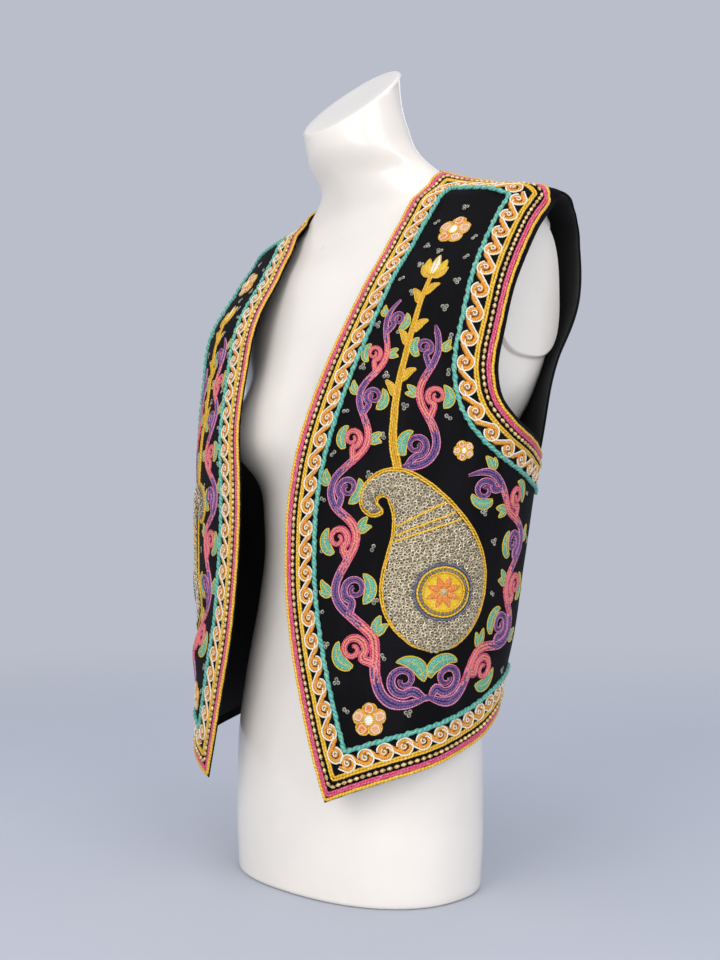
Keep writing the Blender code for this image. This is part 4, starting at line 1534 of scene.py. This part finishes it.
@dataclass
class Border:
    """Cords, pink band, beads, running scroll and rope along the free edges.

    Each cord has its silk, its distance from the edge and its radius; bead_size is a bead's
    half length, its radius and its lift.
    """

    strip: Strip
    cords: tuple[tuple[Silk, float, float], ...] = (
        (Silk.GOLD, 0.0017, 0.00155), (Silk.PINK, 0.0044, 0.00115), (Silk.PINK, 0.0063, 0.00110),
        (Silk.GOLD, 0.0150, 0.00120), (Silk.GOLD, 0.0172, 0.00120))
    bead_depth: float = 0.0104
    bead_pitch: float = 0.0060
    rope_depth: float = 0.0349
    rope_radius: float = 0.0021
    scroll_depth: float = 0.0254
    scroll_pitch: Row = (0.0168, 0.0205, 0.0205, 0.0228)
    coil: float = 0.0056
    coil_core: float = 0.0012
    coil_angles: Row = (215.0, 400.0, 545.0, 640.0)
    heart_angles: Pair = (100.0, 470.0)
    heart_radius: Pair = (0.0028, 0.0009)
    edge_lift: float = 0.0004
    band_half: float = 0.0021
    leaf_knot: float = 0.0036
    bead_size: Triple = (0.0026, 0.0018, 0.0012)
    rope_lift: float = 0.0009
    rope_twist: float = 0.0092

    def unit_lines(self, pitch: float) -> tuple[Array, Array]:
        """One unit of the running scroll as (along, inward), in metres.

        The coil is centre + r (cos t, sin t): r keeps its size for half a turn and then falls,
        after a lead from the coil before; its heart is a smaller curl of the same kind.

        Args:
            pitch: distance from one coil to the next.

        Returns:
            The band and the heart.
        """
        angle = np.linspace(self.coil_angles[0], self.coil_angles[-1], 24)
        radius = np.interp(angle, self.coil_angles, [
            self.coil, 0.98 * self.coil, 0.66 * self.coil, self.coil_core])
        spiral = radius[:, None] * rays(np.radians(angle))
        lead = np.array([[-pitch + 0.0026, 0.0050], [-0.66 * pitch, 0.0042],
                         [-0.0078, -0.0008]])
        band = smooth_path(np.concatenate([lead, spiral]), 48)
        turn = np.radians(np.linspace(*self.heart_angles, 12))
        return band, np.linspace(*self.heart_radius, 12)[:, None] * rays(turn)

    def along(self, side: Side) -> float:
        """Direction in which the scroll runs on a side: +1 with the border, -1 against it."""
        return -1.0 if side in (Side.FRONT, Side.HEM) else 1.0

    def scroll(self, needle: Needle, side: Side) -> None:
        """Whole units of the scroll from corner to corner."""
        length = self.strip.length(side, self.scroll_depth)
        pitch = self.scroll_pitch[side.value]
        count = max(int(round((length - 0.004) / pitch)), 1)
        pitch = length / count
        band, heart = self.unit_lines(pitch)
        run = self.along(side)
        for k in range(count):
            middle = (k + 0.5) * pitch
            first = k == (0 if run > 0 else count - 1)
            unit_band = band[9:] if first else band
            tangent = np.gradient(unit_band, axis=0)
            outer = unit(vectors(tangent[:, 1], -tangent[:, 0])) * self.band_half
            rest = len(unit_band)
            width = np.interp(np.arange(rest), [0, 6, rest - 8, rest - 1],
                              [0.0011, self.band_half, 0.0019, 0.0012])
            rim = unit_band + outer
            # each line's silk, half width, half height and lift
            for line, silk, half, high, lift in (
                    (unit_band, Silk.SCROLL, width, 0.0013, 0.0004),
                    (rim[:rest - 6], Silk.CREAM, 0.00080, 0.0009, 0.0011),
                    (heart, Silk.CREAM, 0.00062, 0.0006, 0.0014)):
                spot = self.strip.spots(side, self.scroll_depth, middle + run * line[:, 0],
                                        self.scroll_depth + line[:, 1])
                needle.cord(silk, spot, half, high, lift)
            spot = self.strip.spots(side, self.scroll_depth, np.array([middle]),
                                    np.array([self.scroll_depth]))
            needle.dots(Silk.SCROLL, spot, self.leaf_knot, 0.0, KNOT)

    def build(self, needle: Needle, label: str) -> None:
        """Lay the whole border of one side."""
        for silk, depth, radius in self.cords:
            needle.cord(silk, self.strip.path(depth, 0.0022), radius, radius, self.edge_lift, 6)
        needle.make(f"edge_cords_{label}")
        needle.beads(Spark.BEAD, BICONE, self.strip.path(self.bead_depth, self.bead_pitch),
                     *self.bead_size)
        needle.make(f"edge_beads_{label}")
        for side in Side:
            self.scroll(needle, side)
        needle.make(f"running_scroll_{label}")
        needle.cord(Silk.TEAL, self.strip.path(self.rope_depth, 0.0012), self.rope_radius,
                    self.rope_radius, self.rope_lift, 8, self.rope_twist)
        needle.make(f"turquoise_rope_{label}")


# ---------------------------------------------------------------- motifs of the field
def sideways(line: Array) -> Array:
    """Unit vectors to the right of a flat line's travel."""
    run = unit(np.gradient(line, axis=0))
    return vectors(run[:, 1], -run[:, 0])


def petal_width(t: Array, start: float, skew: float, blunt: float) -> Array:
    """Width of a leaf or petal along it: sin(pi t^skew)^blunt, with t held off both ends."""
    return np.sin(np.pi * np.clip(t, start, 0.985) ** skew) ** blunt


@dataclass
class Pad:
    """A stuffed shape in chart metres: a flat spine, its half width and a domed height."""

    spine: Array
    half_width: Array
    height: float
    across: int = 9

    def __post_init__(self) -> None:
        """Find the right-hand side of every point of the spine."""
        self.side = sideways(self.spine)

    def spots(self, share: Array) -> Array:
        """Chart spots at shares of the half width, -1 to 1, for every point of the spine."""
        reach = self.side * self.half_width[:, None]
        return self.spine[:, None] + reach[:, None] * share[..., None]

    def dome(self, share: Array) -> Array:
        """Height at a share of the half width: h (1 - |s|^2.4)^0.6."""
        return self.height * (1.0 - np.clip(np.abs(share), 0.0, 1.0) ** 2.4) ** 0.6

    def lift(self, spot: Array) -> Array:
        """Height of the dome at any spot, from the nearest point of the spine."""
        gap = np.linalg.norm(spot[..., None, :] - self.spine, axis=-1)
        share = gap / np.maximum(self.half_width, 1e-4)
        return self.dome(share.min(axis=-1))

    def edge(self, out: float = 0.0) -> Array:
        """Closed outline, moved outward by a distance."""
        reach = self.side * (self.half_width + out)[:, None]
        right, left = self.spine + reach, self.spine - reach
        return np.concatenate([right, left[::-1], right[:2]])


def leaf_pad(base: Array, tip: Array, half_width: float, bend: float, height: float,
             count: int = 11) -> Pad:
    """A leaf whose spine bows aside by a sine and whose width is a skewed sine.

    Args:
        base: chart spot of its foot.
        tip: chart spot of its tip.
        half_width: its greatest half width.
        bend: how far it bows, as a share of its length.
        height: height of its padding.
        count: points of its spine.

    Returns:
        Its pad.
    """
    t = shares(count)
    run = tip - base
    spine = base + t[:, None] * run
    spine = spine + np.array([run[1], -run[0]]) * (bend * np.sin(np.pi * t))[:, None]
    width = half_width * petal_width(t, 0.02, 0.75, 0.85)
    return Pad(spine, np.maximum(width, 0.00025), height)


def disc_pad(centre: Array, radius: float, height: float) -> Pad:
    """A round pad: half width r sqrt(1 - s^2) along an upright spine."""
    share = np.linspace(-1.0, 1.0, 26)
    spine = centre + vectors(0.0 * share, share) * radius
    return Pad(spine, radius * np.sqrt(np.clip(1.0 - share ** 2, 0.0004, 1.0)), height)


class Vine(NamedTuple):
    """A waving vine: its middle line, its bends, and sizes at its foot and at its tip.

    The first bend goes to the given side (1 is right of its travel).
    """

    middle: Spots
    bends: int
    hand: float
    swing: Pair
    radius: Pair
    half_width: Pair
    squeeze: float = 0.0


class Bloom(NamedTuple):
    """A five-petalled flower: its centre, radius and turn."""

    centre: Pair
    radius: float
    turn: float


VINES = [
    Vine(((0.006, 0.106), (-0.018, 0.115), (-0.041, 0.130), (-0.059, 0.152), (-0.068, 0.185),
          (-0.075, 0.220), (-0.080, 0.250), (-0.087, 0.280), (-0.080, 0.312), (-0.070, 0.345),
          (-0.061, 0.380), (-0.049, 0.415), (-0.038, 0.446), (-0.031, 0.464)), 9, -1.0,
         (0.0165, 0.0050), (0.0138, 0.0066), (0.0046, 0.0026), 0.22),
    Vine(((0.006, 0.106), (0.040, 0.120), (0.070, 0.139), (0.094, 0.162), (0.101, 0.190),
          (0.101, 0.225), (0.096, 0.258), (0.078, 0.282), (0.052, 0.292), (0.028, 0.300)), 7, 1.0,
         (0.0130, 0.0090), (0.0138, 0.0095), (0.0046, 0.0034), 0.05),
    Vine(((-0.030, 0.308), (-0.012, 0.320), (-0.006, 0.345), (-0.007, 0.375), (-0.002, 0.405),
          (0.004, 0.436)), 3, 1.0, (0.0080, 0.0055), (0.0110, 0.0070), (0.0038, 0.0027), 0.10),
]
BLOOMS = [
    Bloom((-0.043, 0.086), 0.0145, 20.0),
    Bloom((0.012, 0.546), 0.0160, 5.0),
    Bloom((0.022, 0.322), 0.0085, 40.0),
]
SPARKS = [
    (-0.010, 0.092), (-0.064, 0.094), (-0.076, 0.118), (0.070, 0.108), (0.106, 0.122),
    (-0.036, 0.140), (-0.090, 0.150), (0.060, 0.150), (0.130, 0.150), (-0.098, 0.180),
    (-0.046, 0.190), (0.068, 0.196), (0.136, 0.196), (-0.050, 0.236), (0.060, 0.242),
    (-0.102, 0.236), (0.132, 0.244), (-0.104, 0.282), (0.046, 0.268), (0.112, 0.288),
    (-0.060, 0.302), (-0.098, 0.322), (-0.050, 0.336), (0.010, 0.352), (-0.028, 0.362),
    (-0.086, 0.362), (-0.044, 0.392), (0.012, 0.392), (-0.068, 0.402), (-0.030, 0.432),
    (-0.054, 0.442), (0.018, 0.424), (0.012, 0.452), (-0.022, 0.470), (0.022, 0.478),
    (-0.034, 0.488), (-0.016, 0.504), (0.030, 0.506), (-0.012, 0.530), (0.036, 0.532),
    (0.014, 0.576), (-0.010, 0.560), (0.002, 0.520),
]


@dataclass
class Trail:
    """A vine worked out: its line, its sides, its curls and its leaves."""

    vine: Vine
    steps: int = 22
    dense: int = 600
    coil_sweep: float = 500.0
    coil_core: float = 0.20

    def __post_init__(self) -> None:
        """Lay the line: middle + side * swing * sin(pi t) for t from 0 to the bend count."""
        vine = self.vine
        way = shares(self.steps * vine.bends + 1)
        share = way + vine.squeeze * way * (1.0 - way)
        middle = pick(smooth_path(np.array(vine.middle), self.dense), share,
                      shares(self.dense))
        swing = np.interp(way, [0.0, 1.0], vine.swing) * np.sin(np.pi * vine.bends * way)
        self.line = middle + sideways(middle) * (vine.hand * swing)[:, None]
        self.side = sideways(self.line)
        foot, tip = vine.half_width
        self.width = np.interp(way, [0.0, 0.05, 0.95, 1.0], [0.5 * foot, foot, tip, 0.3 * tip])

    def top(self, bend: int) -> tuple[int, float]:
        """Number of the line's point at a bend's top, and the hand of the bend's inner side."""
        return self.steps * bend + self.steps // 2, -self.vine.hand * (-1.0) ** bend

    def curl(self, bend: int) -> tuple[Array, Array, Array]:
        """The curl inside a bend.

        Its centre stands a radius and a little more inside the bend.  Its spiral sets off
        from the vine before the bend's top, and its radius falls evenly to the core.

        Args:
            bend: number of the bend, from the vine's foot.

        Returns:
            Its line, its half width and the crescent leaf's spine round its far side.
        """
        radius = np.interp((bend + 0.5) / self.vine.bends, [0.0, 1.0], self.vine.radius)
        k, hand = self.top(bend)
        inward = self.side[k] * hand
        centre = self.line[k] + inward * (radius + self.width[k] * 1.75 + 0.0004)
        start = math.degrees(math.atan2(-inward[1], -inward[0])) + 70.0 * hand
        turn = np.radians(start + np.linspace(0.0, -hand * self.coil_sweep, 14))
        spiral = centre + np.linspace(radius, radius * self.coil_core, 14)[:, None] * rays(turn)
        root = self.line[[max(k - 13, 0), k - 10]]
        line = smooth_path(np.concatenate([root, spiral]), 48)
        width = self.width[k] * np.interp(shares(48), [0.0, 0.15, 0.5, 1.0],
                                          [0.5, 0.92, 0.8, 0.42])
        reach = 0.62 * radius + 1.8 * self.width[k]
        turn = math.atan2(inward[1], inward[0]) + np.linspace(-1.15, 0.95, 13) * hand
        return line, width, centre + reach * rays(turn)


@dataclass
class Paisley:
    """The large padded teardrop: silver sequins, gold outlines and a yellow medallion."""

    spine: Spots = (
        (0.006, 0.146), (0.007, 0.165), (0.007, 0.190), (0.005, 0.215), (0.000, 0.240),
        (-0.008, 0.262), (-0.020, 0.281), (-0.035, 0.293), (-0.050, 0.292), (-0.058, 0.281),
        (-0.053, 0.271), (-0.045, 0.272))
    share: Row = (0.0, 0.015, 0.04, 0.08, 0.14, 0.21, 0.28, 0.37, 0.46, 0.55, 0.65,
                                0.75, 0.85, 0.94, 1.0)
    width: Row = (0.001, 0.013, 0.022, 0.031, 0.0395, 0.0445, 0.0455, 0.0425, 0.036,
                                0.0275, 0.0190, 0.0125, 0.0080, 0.0050, 0.0018)
    height: float = 0.0042
    pitch: float = 0.0036
    sequin: float = 0.0025
    sequin_sizes: Pair = (0.82, 1.12)
    row_step: float = 0.80
    margin: float = 0.0016
    foot_gap: float = 0.004
    clearance: float = 0.0045
    jitter: float = 0.00055
    lean: float = 0.20
    wobble: float = 0.11
    bars: Row = (0.50, 0.535, 0.57)
    medallion: Pair = (0.012, 0.198)
    medallion_radius: float = 0.0215
    rows: int = 84
    dense: int = 400
    fill: float = 0.8

    def row_shares(self) -> Array:
        """Shares of the spine at its rows, which lie closer where its foot rounds off."""
        return shares(self.rows) ** 1.5

    def pad(self) -> Pad:
        """The teardrop: its spine's line read at the rows, and its width from the table."""
        share = self.row_shares()
        spine = pick(smooth_path(np.array(self.spine), self.dense), share,
                     shares(self.dense))
        width = hermite(np.array(self.share), np.array(self.width), share)
        return Pad(spine, width, self.height)

    def sequins(self, field: "Field", pad: Pad) -> None:
        """Rows of overlapping sequins across the spine, clear of the medallion.

        Each sequin leans back along the spine like a scale, with a small seeded turn.
        """
        length = lengths_along(pad.spine)
        rows = np.arange(self.margin, length[-1] - self.foot_gap, self.pitch * self.row_step)
        spots, runs = [], []
        for k, at in enumerate(rows):
            middle, side = pick(pad.spine, at, length), unit(pick(pad.side, at, length))
            half = np.interp(at, length, pad.half_width) - self.margin
            count = max(int(2.0 * half / self.pitch), 1)
            step = np.arange(count) - 0.5 * (count - 1) + (0.25 if k % 2 else -0.25)
            step = np.clip(step * 2.0 * half / count, -half, half)
            spots.append(middle + side * step[:, None])
            runs.append(np.broadcast_to([-side[1], side[0]], (count, 2)))
        spot, run = np.concatenate(spots), np.concatenate(runs)
        gap = np.linalg.norm(spot - np.array(self.medallion), axis=1) - self.medallion_radius
        spot, run = spot[gap > self.clearance], run[gap > self.clearance]
        random = np.random.default_rng(7)
        spot = spot + random.normal(0.0, self.jitter, spot.shape)
        (point, normal), (ahead, _) = (
            field.needle.stand(field.chart.place(where), pad.lift(where) + 0.0004)
            for where in (spot, spot + run * 0.001))
        run3 = unit(ahead - point)
        lean = self.lean + random.normal(0.0, self.wobble, len(spot))[:, None]
        roll = random.normal(0.0, self.wobble, len(spot))[:, None]
        across = np.cross(run3, normal)
        axis = unit(normal - run3 * lean + across * roll)
        first = unit(across - axis * np.sum(across * axis, axis=1, keepdims=True))
        size = self.sequin * random.uniform(*self.sequin_sizes, len(spot))[:, None]
        field.needle.bag.copies(finish_of(Spark.SEQUIN), DISC, point,
                                triads(axis, first, size, size))

    def build(self, field: "Field") -> None:
        """Lay the teardrop with all that is on it."""
        pad = self.pad()
        field.pad(Silk.SILVER, pad)
        field.make("padded_teardrop")
        self.sequins(field, pad)
        field.make("silver_sequins")
        for out, radius in ((0.0006, 0.0012), (0.0028, 0.0009)):
            field.cord(Silk.GOLD, smooth_path(pad.edge(out)[1:-1:2], 260), radius, 0.0010,
                       0.0007)
        for k in np.searchsorted(self.row_shares(), self.bars):
            bar = pad.spots(np.linspace(-0.96, 0.96, 30))[k]
            field.cord(Silk.GOLD, bar, 0.0011, 0.0009, pad.lift(bar) + 0.0008)
        self.disc(field, pad)

    def disc(self, field: "Field", pad: Pad) -> None:
        """Yellow medallion with a star flower, a bead ring and gold rings.

        The rings are a table of radius share, silk, half width and rise over the padding.
        """
        centre = np.array(self.medallion)
        ring = rays(np.linspace(0.0, TAU, 73)) * self.medallion_radius
        lift = pad.lift(centre[None])[0]
        field.pad(Silk.YELLOW, disc_pad(centre, self.medallion_radius, 0.0012), lift - 0.0006,
                  pad)
        for radius, silk, size, rise in ((1.0, Silk.GOLD, 0.0011, 0.0012),
                                         (1.13, Silk.SLATE, 0.0010, 0.0012),
                                         (0.80, Silk.GOLD, 0.0007, 0.0016)):
            line = centre + ring * radius
            field.cord(silk, line, size, 0.0009, pad.lift(line) + rise)
        field.dots(Spark.STEEL, centre + ring[:-1:2] * 0.90, 0.00125, 0.0018, pad=pad)
        for way in rays(np.radians(45.0 * np.arange(8) + 22.5)):
            petal = leaf_pad(centre + way * 0.003, centre + way * 0.0150, 0.0030, 0.0, 0.0012)
            field.pad(Silk.ORANGE, petal, lift + 0.0004, pad)
        field.dots(Silk.CREAM, centre[None], 0.0026, lift + 0.0014)


@dataclass
class Field:
    """Everything sewn inside the border of one front."""

    chart: Chart
    needle: Needle
    label: str
    stem: Spots = (
        (-0.034, 0.306), (-0.040, 0.330), (-0.038, 0.356), (-0.032, 0.384), (-0.024, 0.412),
        (-0.016, 0.440), (-0.009, 0.466), (-0.003, 0.488))
    strands: float = 60.0
    tuck: float = 0.3
    sunk: float = 0.0003

    def make(self, name: str) -> Thing:
        """The field's next piece of that name, with the side in it."""
        return self.needle.make(f"{name}_{self.label}")

    def cord(self, silk: Silk, line: Array, half_width: Number, half_height: float,
             lift: Number = 0.0) -> None:
        """A cord along chart spots."""
        self.needle.cord(silk, self.chart.place(line), half_width, half_height, lift)

    def dots(self, spark: Spark | Silk, spot: Array, radius: float, lift: float,
             shape: Small = ROUND, pad: Pad | None = None) -> None:
        """Round beads at chart spots, raised by a pad under them where there is one."""
        rise = lift if pad is None else pad.lift(spot) + lift
        self.needle.dots(spark, self.chart.place(spot), radius, rise, shape)

    def pad(self, silk: Silk, pad: Pad, lift: float = 0.0, under: Pad | None = None) -> None:
        """A stuffed shape: its dome on top and a flat underside just under the velvet.

        Columns go from one edge over the dome to the other, by the cosine of an even turn.

        Args:
            silk: its thread.
            pad: the shape.
            lift: height of its underside over the velvet.
            under: a pad that it lies on, whose curve it follows.
        """
        turn = np.linspace(0.0, np.pi, pad.across)
        share = np.concatenate([-np.cos(turn), [self.tuck, -self.tuck]])
        spots = pad.spots(share)
        rise = np.concatenate([pad.dome(-np.cos(turn)), [-self.sunk, -self.sunk]]) + lift
        rise = np.broadcast_to(rise, spots.shape[:2]).copy()
        if under is not None:
            rise += under.lift(spots) - under.lift(spots.reshape(-1, 2).mean(axis=0)[None])[0]
        number = np.arange(len(spots))
        end = np.minimum(1.0, 0.25 + np.minimum(number, number[::-1]) / 2.0)[:, None]
        rise = np.where(rise > lift, lift + (rise - lift) * end, rise)
        net, _ = self.needle.stand(self.chart.place(spots), rise)
        middle = net.mean(axis=1, keepdims=True)
        net = np.concatenate([middle[:1] + 0.02 * (net[:1] - middle[:1]), net,
                              middle[-1:] + 0.02 * (net[-1:] - middle[-1:])])
        along = np.pad(lengths_along(pad.spine), 1, "edge")
        v, u = np.meshgrid(np.append(share, share[0]), along)
        v = v * np.pad(pad.half_width, 1, "edge")[:, None]
        places = vectors(u, v * self.strands)
        hand = int(self.needle.hand)
        self.needle.bag.grid(finish_of(silk), net[:, ::hand], places[:, ::hand])

    def leaf(self, pad: Pad, fill: Silk = Silk.LEAF, rim: Silk = Silk.YELLOW) -> None:
        """A satin shape with a couched rim and a vein along its spine."""
        self.pad(fill, pad)
        self.cord(rim, smooth_path(pad.edge(0.0003)[::2], 28), 0.0006, 0.0006, 0.0004)
        self.cord(rim, pad.spine[1:-2], 0.00035, 0.0004, pad.height)

    def band(self, line: Array, width: Array, deep: bool) -> None:
        """Rows of chain stitch side by side: a fine edge, a full core and a fine edge."""
        core, edge = (Silk.DEEP, Silk.BLUSH) if deep else (Silk.ROSE, Silk.PINK)
        side = sideways(line)
        for offset, silk, share, high in ((-0.88, edge, 0.18, 0.0011), (-0.36, core, 0.36, 0.0014),
                                          (0.36, core, 0.36, 0.0014), (0.88, edge, 0.18, 0.0011)):
            self.cord(silk, line + side * (offset * width)[:, None], width * share, high,
                      0.0003)

    def vine(self, vine: Vine) -> None:
        """A vine bend by bend: its band, a curl, a crescent leaf and two small leaves."""
        trail = Trail(vine)
        for bend in range(vine.bends):
            deep = bend % 2 == 0
            line, width, arc = trail.curl(bend)
            k, hand = trail.top(bend)
            half = trail.width[k]
            share = shares(len(arc))
            self.leaf(Pad(arc, 1.25 * half * petal_width(share, 0.02, 0.8, 0.8), 0.0013))
            self.band(line, width, deep)
            inward = trail.side[k] * hand
            run = np.array([-trail.side[k][1], trail.side[k][0]])
            base = trail.line[k] - inward * half * 0.9
            for spread, size in ((0.95, 1.0), (0.30, 0.78)) if bend else ():
                way = -inward * math.cos(spread) + run * math.sin(spread)
                self.leaf(leaf_pad(base, base + way * (4.1 * half * size), half * size * 0.95,
                                   0.10 * vine.hand, 0.0012))
            start = trail.steps * bend
            piece = slice(max(start - 4, 0), start + trail.steps + 3)
            self.band(trail.line[piece], trail.width[piece], deep)

    def bloom(self, bloom: Bloom) -> None:
        """Five satin petals with gold rims, and a cream centre ringed by knots."""
        centre = np.array(bloom.centre)
        t = shares(16)
        for k, way in enumerate(rays(np.radians(bloom.turn + 72.0 * np.arange(5)))):
            spine = centre + way * (bloom.radius * (0.18 + 0.82 * t))[:, None]
            width = bloom.radius * 0.40 * petal_width(t, 0.03, 1.35, 0.62)
            pad = Pad(spine, np.maximum(width, 0.0003), 0.0016)
            self.pad(Silk.ORANGE if k % 2 else Silk.PEACH, pad)
            self.cord(Silk.GOLD, smooth_path(pad.edge(0.0004)[::2], 48), 0.0007, 0.0007,
                      0.0004)
            loop = Pad(spine[5:-1], pad.half_width[5:-1] * 0.52, 0.0016).edge()
            self.cord(Silk.CREAM, smooth_path(loop[::2], 30), 0.0004, 0.0004, 0.0014)
        self.pad(Silk.CREAM, disc_pad(centre, bloom.radius * 0.30, 0.0018), 0.0006)
        ring = centre + bloom.radius * 0.30 * rays(np.linspace(0.0, TAU, 31))
        self.cord(Silk.YELLOW, ring, 0.0007, 0.0007, 0.0016)

    def golden_stem(self) -> None:
        """A gold stem with paired leaves that rises from the teardrop to a bud."""
        line = smooth_path(np.array(self.stem), 120)
        side, run = sideways(line), unit(np.gradient(line, axis=0))
        width = np.linspace(0.0034, 0.0016, len(line))
        for offset, silk in ((-0.9, Silk.GOLD), (-0.3, Silk.GOLD_FILL), (0.3, Silk.GOLD_FILL),
                             (0.9, Silk.GOLD)):
            self.cord(silk, line + side * (offset * width)[:, None], width * 0.34, 0.0013,
                      0.0004)
        for at, hand in ((0.36, -1.0), (0.44, 1.0), (0.62, -1.0), (0.69, 1.0), (0.84, -1.0),
                         (0.89, 1.0)):
            k = int(at * (len(line) - 1))
            root = line[k] + side[k] * hand * width[k]
            tip = root + (run[k] * 0.80 + side[k] * hand * 0.60) * 0.017
            self.leaf(leaf_pad(root, tip, 0.0033, -0.14 * hand, 0.0012), Silk.GOLD_FILL,
                      Silk.GOLD)
        top, way, out = line[-1], run[-1], side[-1]
        for spread, length, silk in ((-0.85, 0.017, Silk.GOLD_FILL), (0.85, 0.017, Silk.GOLD_FILL),
                                     (-0.42, 0.022, Silk.YELLOW), (0.42, 0.022, Silk.YELLOW),
                                     (0.0, 0.026, Silk.CREAM)):
            tip = top + (way * math.cos(spread) + out * math.sin(spread)) * length
            self.leaf(leaf_pad(top - way * 0.002, tip, 0.0042, 0.10 * np.sign(spread), 0.0012),
                      silk, Silk.GOLD)

    def clusters(self) -> None:
        """Dull sequins in twos and threes about the field, each cluster turned at random."""
        spot = np.array(SPARKS)
        turn = np.random.default_rng(11).uniform(0.0, TAU, len(spot))
        for k, step in enumerate((1, 1, 2)):
            corner = spot + 0.0021 * rays(turn + TAU * k / 3.0)
            self.dots(Spark.DULL, corner[::step], 0.0020, 0.0004, DISC)

    def build(self) -> None:
        """Sew the whole field of one front."""
        Paisley().build(self)
        self.make("gold_and_medallion")
        for vine in VINES:
            self.vine(vine)
        self.make("scrolled_vines")
        self.golden_stem()
        for bloom in BLOOMS:
            self.bloom(bloom)
        self.clusters()
        self.make("stem_and_flowers")


# ---------------------------------------------------------------- floor, light and camera
class Lamp(NamedTuple):
    """A square light: where it is, the height that it looks at, its size, power and colour."""

    name: str
    place: Triple
    aim: float
    size: float
    power: float
    colour: Colour


LAMPS = (
    Lamp("key", (0.6, -3.0, 2.0), 0.45, 1.8, 30.0, (1.0, 0.97, 0.93)),
    Lamp("fill", (3.0, -0.9, 1.5), 0.45, 1.8, 30.0, (0.97, 0.98, 1.0)),
    Lamp("low", (1.5, -2.4, 0.6), 0.40, 1.6, 20.0, (1.0, 0.97, 0.94)),
    Lamp("top", (0.3, -0.3, 3.2), 0.50, 1.8, 13.0, (1.0, 1.0, 1.0)),
    Lamp("rim", (-1.6, 2.4, 1.8), 0.50, 1.6, 7.0, (1.0, 1.0, 1.0)),
)


@dataclass
class Studio:
    """Plain floor, soft lights and the camera."""

    azimuth: float = 0.7859765
    distance: float = 1.1972407
    height: float = 0.3251195
    swing: float = 0.0055144
    pitch: float = -0.0596103
    roll: float = -0.0083782
    lens: float = 43.378
    surroundings: Triple = (186, 190, 202)
    floor_radius: float = 3.2
    floor_turns: int = 96
    floor_drop: float = 0.0004

    def floor(self) -> None:
        """A disc under the form, rings of growing radius about its middle."""
        turn, reach = np.meshgrid(np.linspace(0.0, TAU, self.floor_turns, endpoint=False),
                                  self.floor_radius * np.linspace(0.001, 1.0, 24) ** 1.5)
        net = vectors(reach * np.sin(turn), reach * np.cos(turn),
                      np.full_like(turn, -self.floor_drop))
        turned(Backdrop().material(), net, reach[:, 0]).make("floor")

    def lamp(self, lamp: Lamp) -> None:
        """A soft square light that looks at a height on the centre line."""
        light = bpy.data.lights.new(lamp.name, "AREA")
        light.size, light.energy, light.color = lamp.size, lamp.power, lamp.colour
        place = np.array(lamp.place)
        axis = unit(place - np.array([0.0, 0.0, lamp.aim]))
        side = unit(np.cross((0.0, 0.0, 1.0), axis))
        thing = shown(lamp.name, light)
        thing.matrix_world = frame_matrix(side, np.cross(axis, side), axis, place)

    def light(self) -> None:
        """Pale surroundings, a broad key from the front, and softer lamps round it."""
        world = bpy.data.worlds.new("surroundings")
        world.use_nodes = True
        tint = world.node_tree.nodes["Background"].inputs[0]
        tint.default_value = linear(*self.surroundings) + (1.0,)
        bpy.context.scene.world = world
        bpy.context.scene.view_settings.view_transform = "Standard"
        for lamp in LAMPS:
            self.lamp(lamp)

    def camera(self) -> None:
        """The camera, turned about the form by azimuth, then swung, pitched and rolled."""
        a, e = self.azimuth + self.swing, self.pitch
        look = -np.array([math.sin(a) * math.cos(e), -math.cos(a) * math.cos(e), math.sin(e)])
        level = np.array([math.cos(a), math.sin(a), 0.0])
        upright = np.cross(level, look)
        right = math.cos(self.roll) * level + math.sin(self.roll) * upright
        up = math.cos(self.roll) * upright - math.sin(self.roll) * level
        data = bpy.data.cameras.new("camera")
        data.sensor_fit, data.sensor_width, data.lens = "AUTO", 36.0, self.lens
        thing = shown("camera", data)
        place = np.array([math.sin(self.azimuth) * self.distance,
                          -math.cos(self.azimuth) * self.distance, self.height])
        thing.matrix_world = frame_matrix(right, up, -look, place)
        bpy.context.scene.camera = thing


def frame_matrix(x: Array, y: Array, z: Array, place: Array) -> list[list[float]]:
    """Rows of the 4 x 4 matrix with the given axes and place."""
    columns = np.stack([x, y, z, place], axis=1)
    return Matrix([*columns.tolist(), [0.0, 0.0, 0.0, 1.0]])


def main() -> None:
    """Build every piece in order."""
    logging.basicConfig(level=logging.INFO, format="%(message)s")
    figure, hang = Figure(FIGURE_ROWS), Loft(HANG_ROWS)
    cloth = Cloth(figure, hang)
    cut = Cut(cloth)
    DressForm(figure).build(Gloss().material())
    Panels(cloth, cut).build(Velvet().material(), Weave().material())
    border, chart = Border(Strip(cloth, cut)), Chart(cloth)
    for label, hand in HANDS:
        needle = Needle(cloth, hand)
        border.build(needle, label)
        Field(chart, needle, label).build()
    studio = Studio()
    studio.floor()
    studio.light()
    studio.camera()


if __name__ == "__main__":
    main()
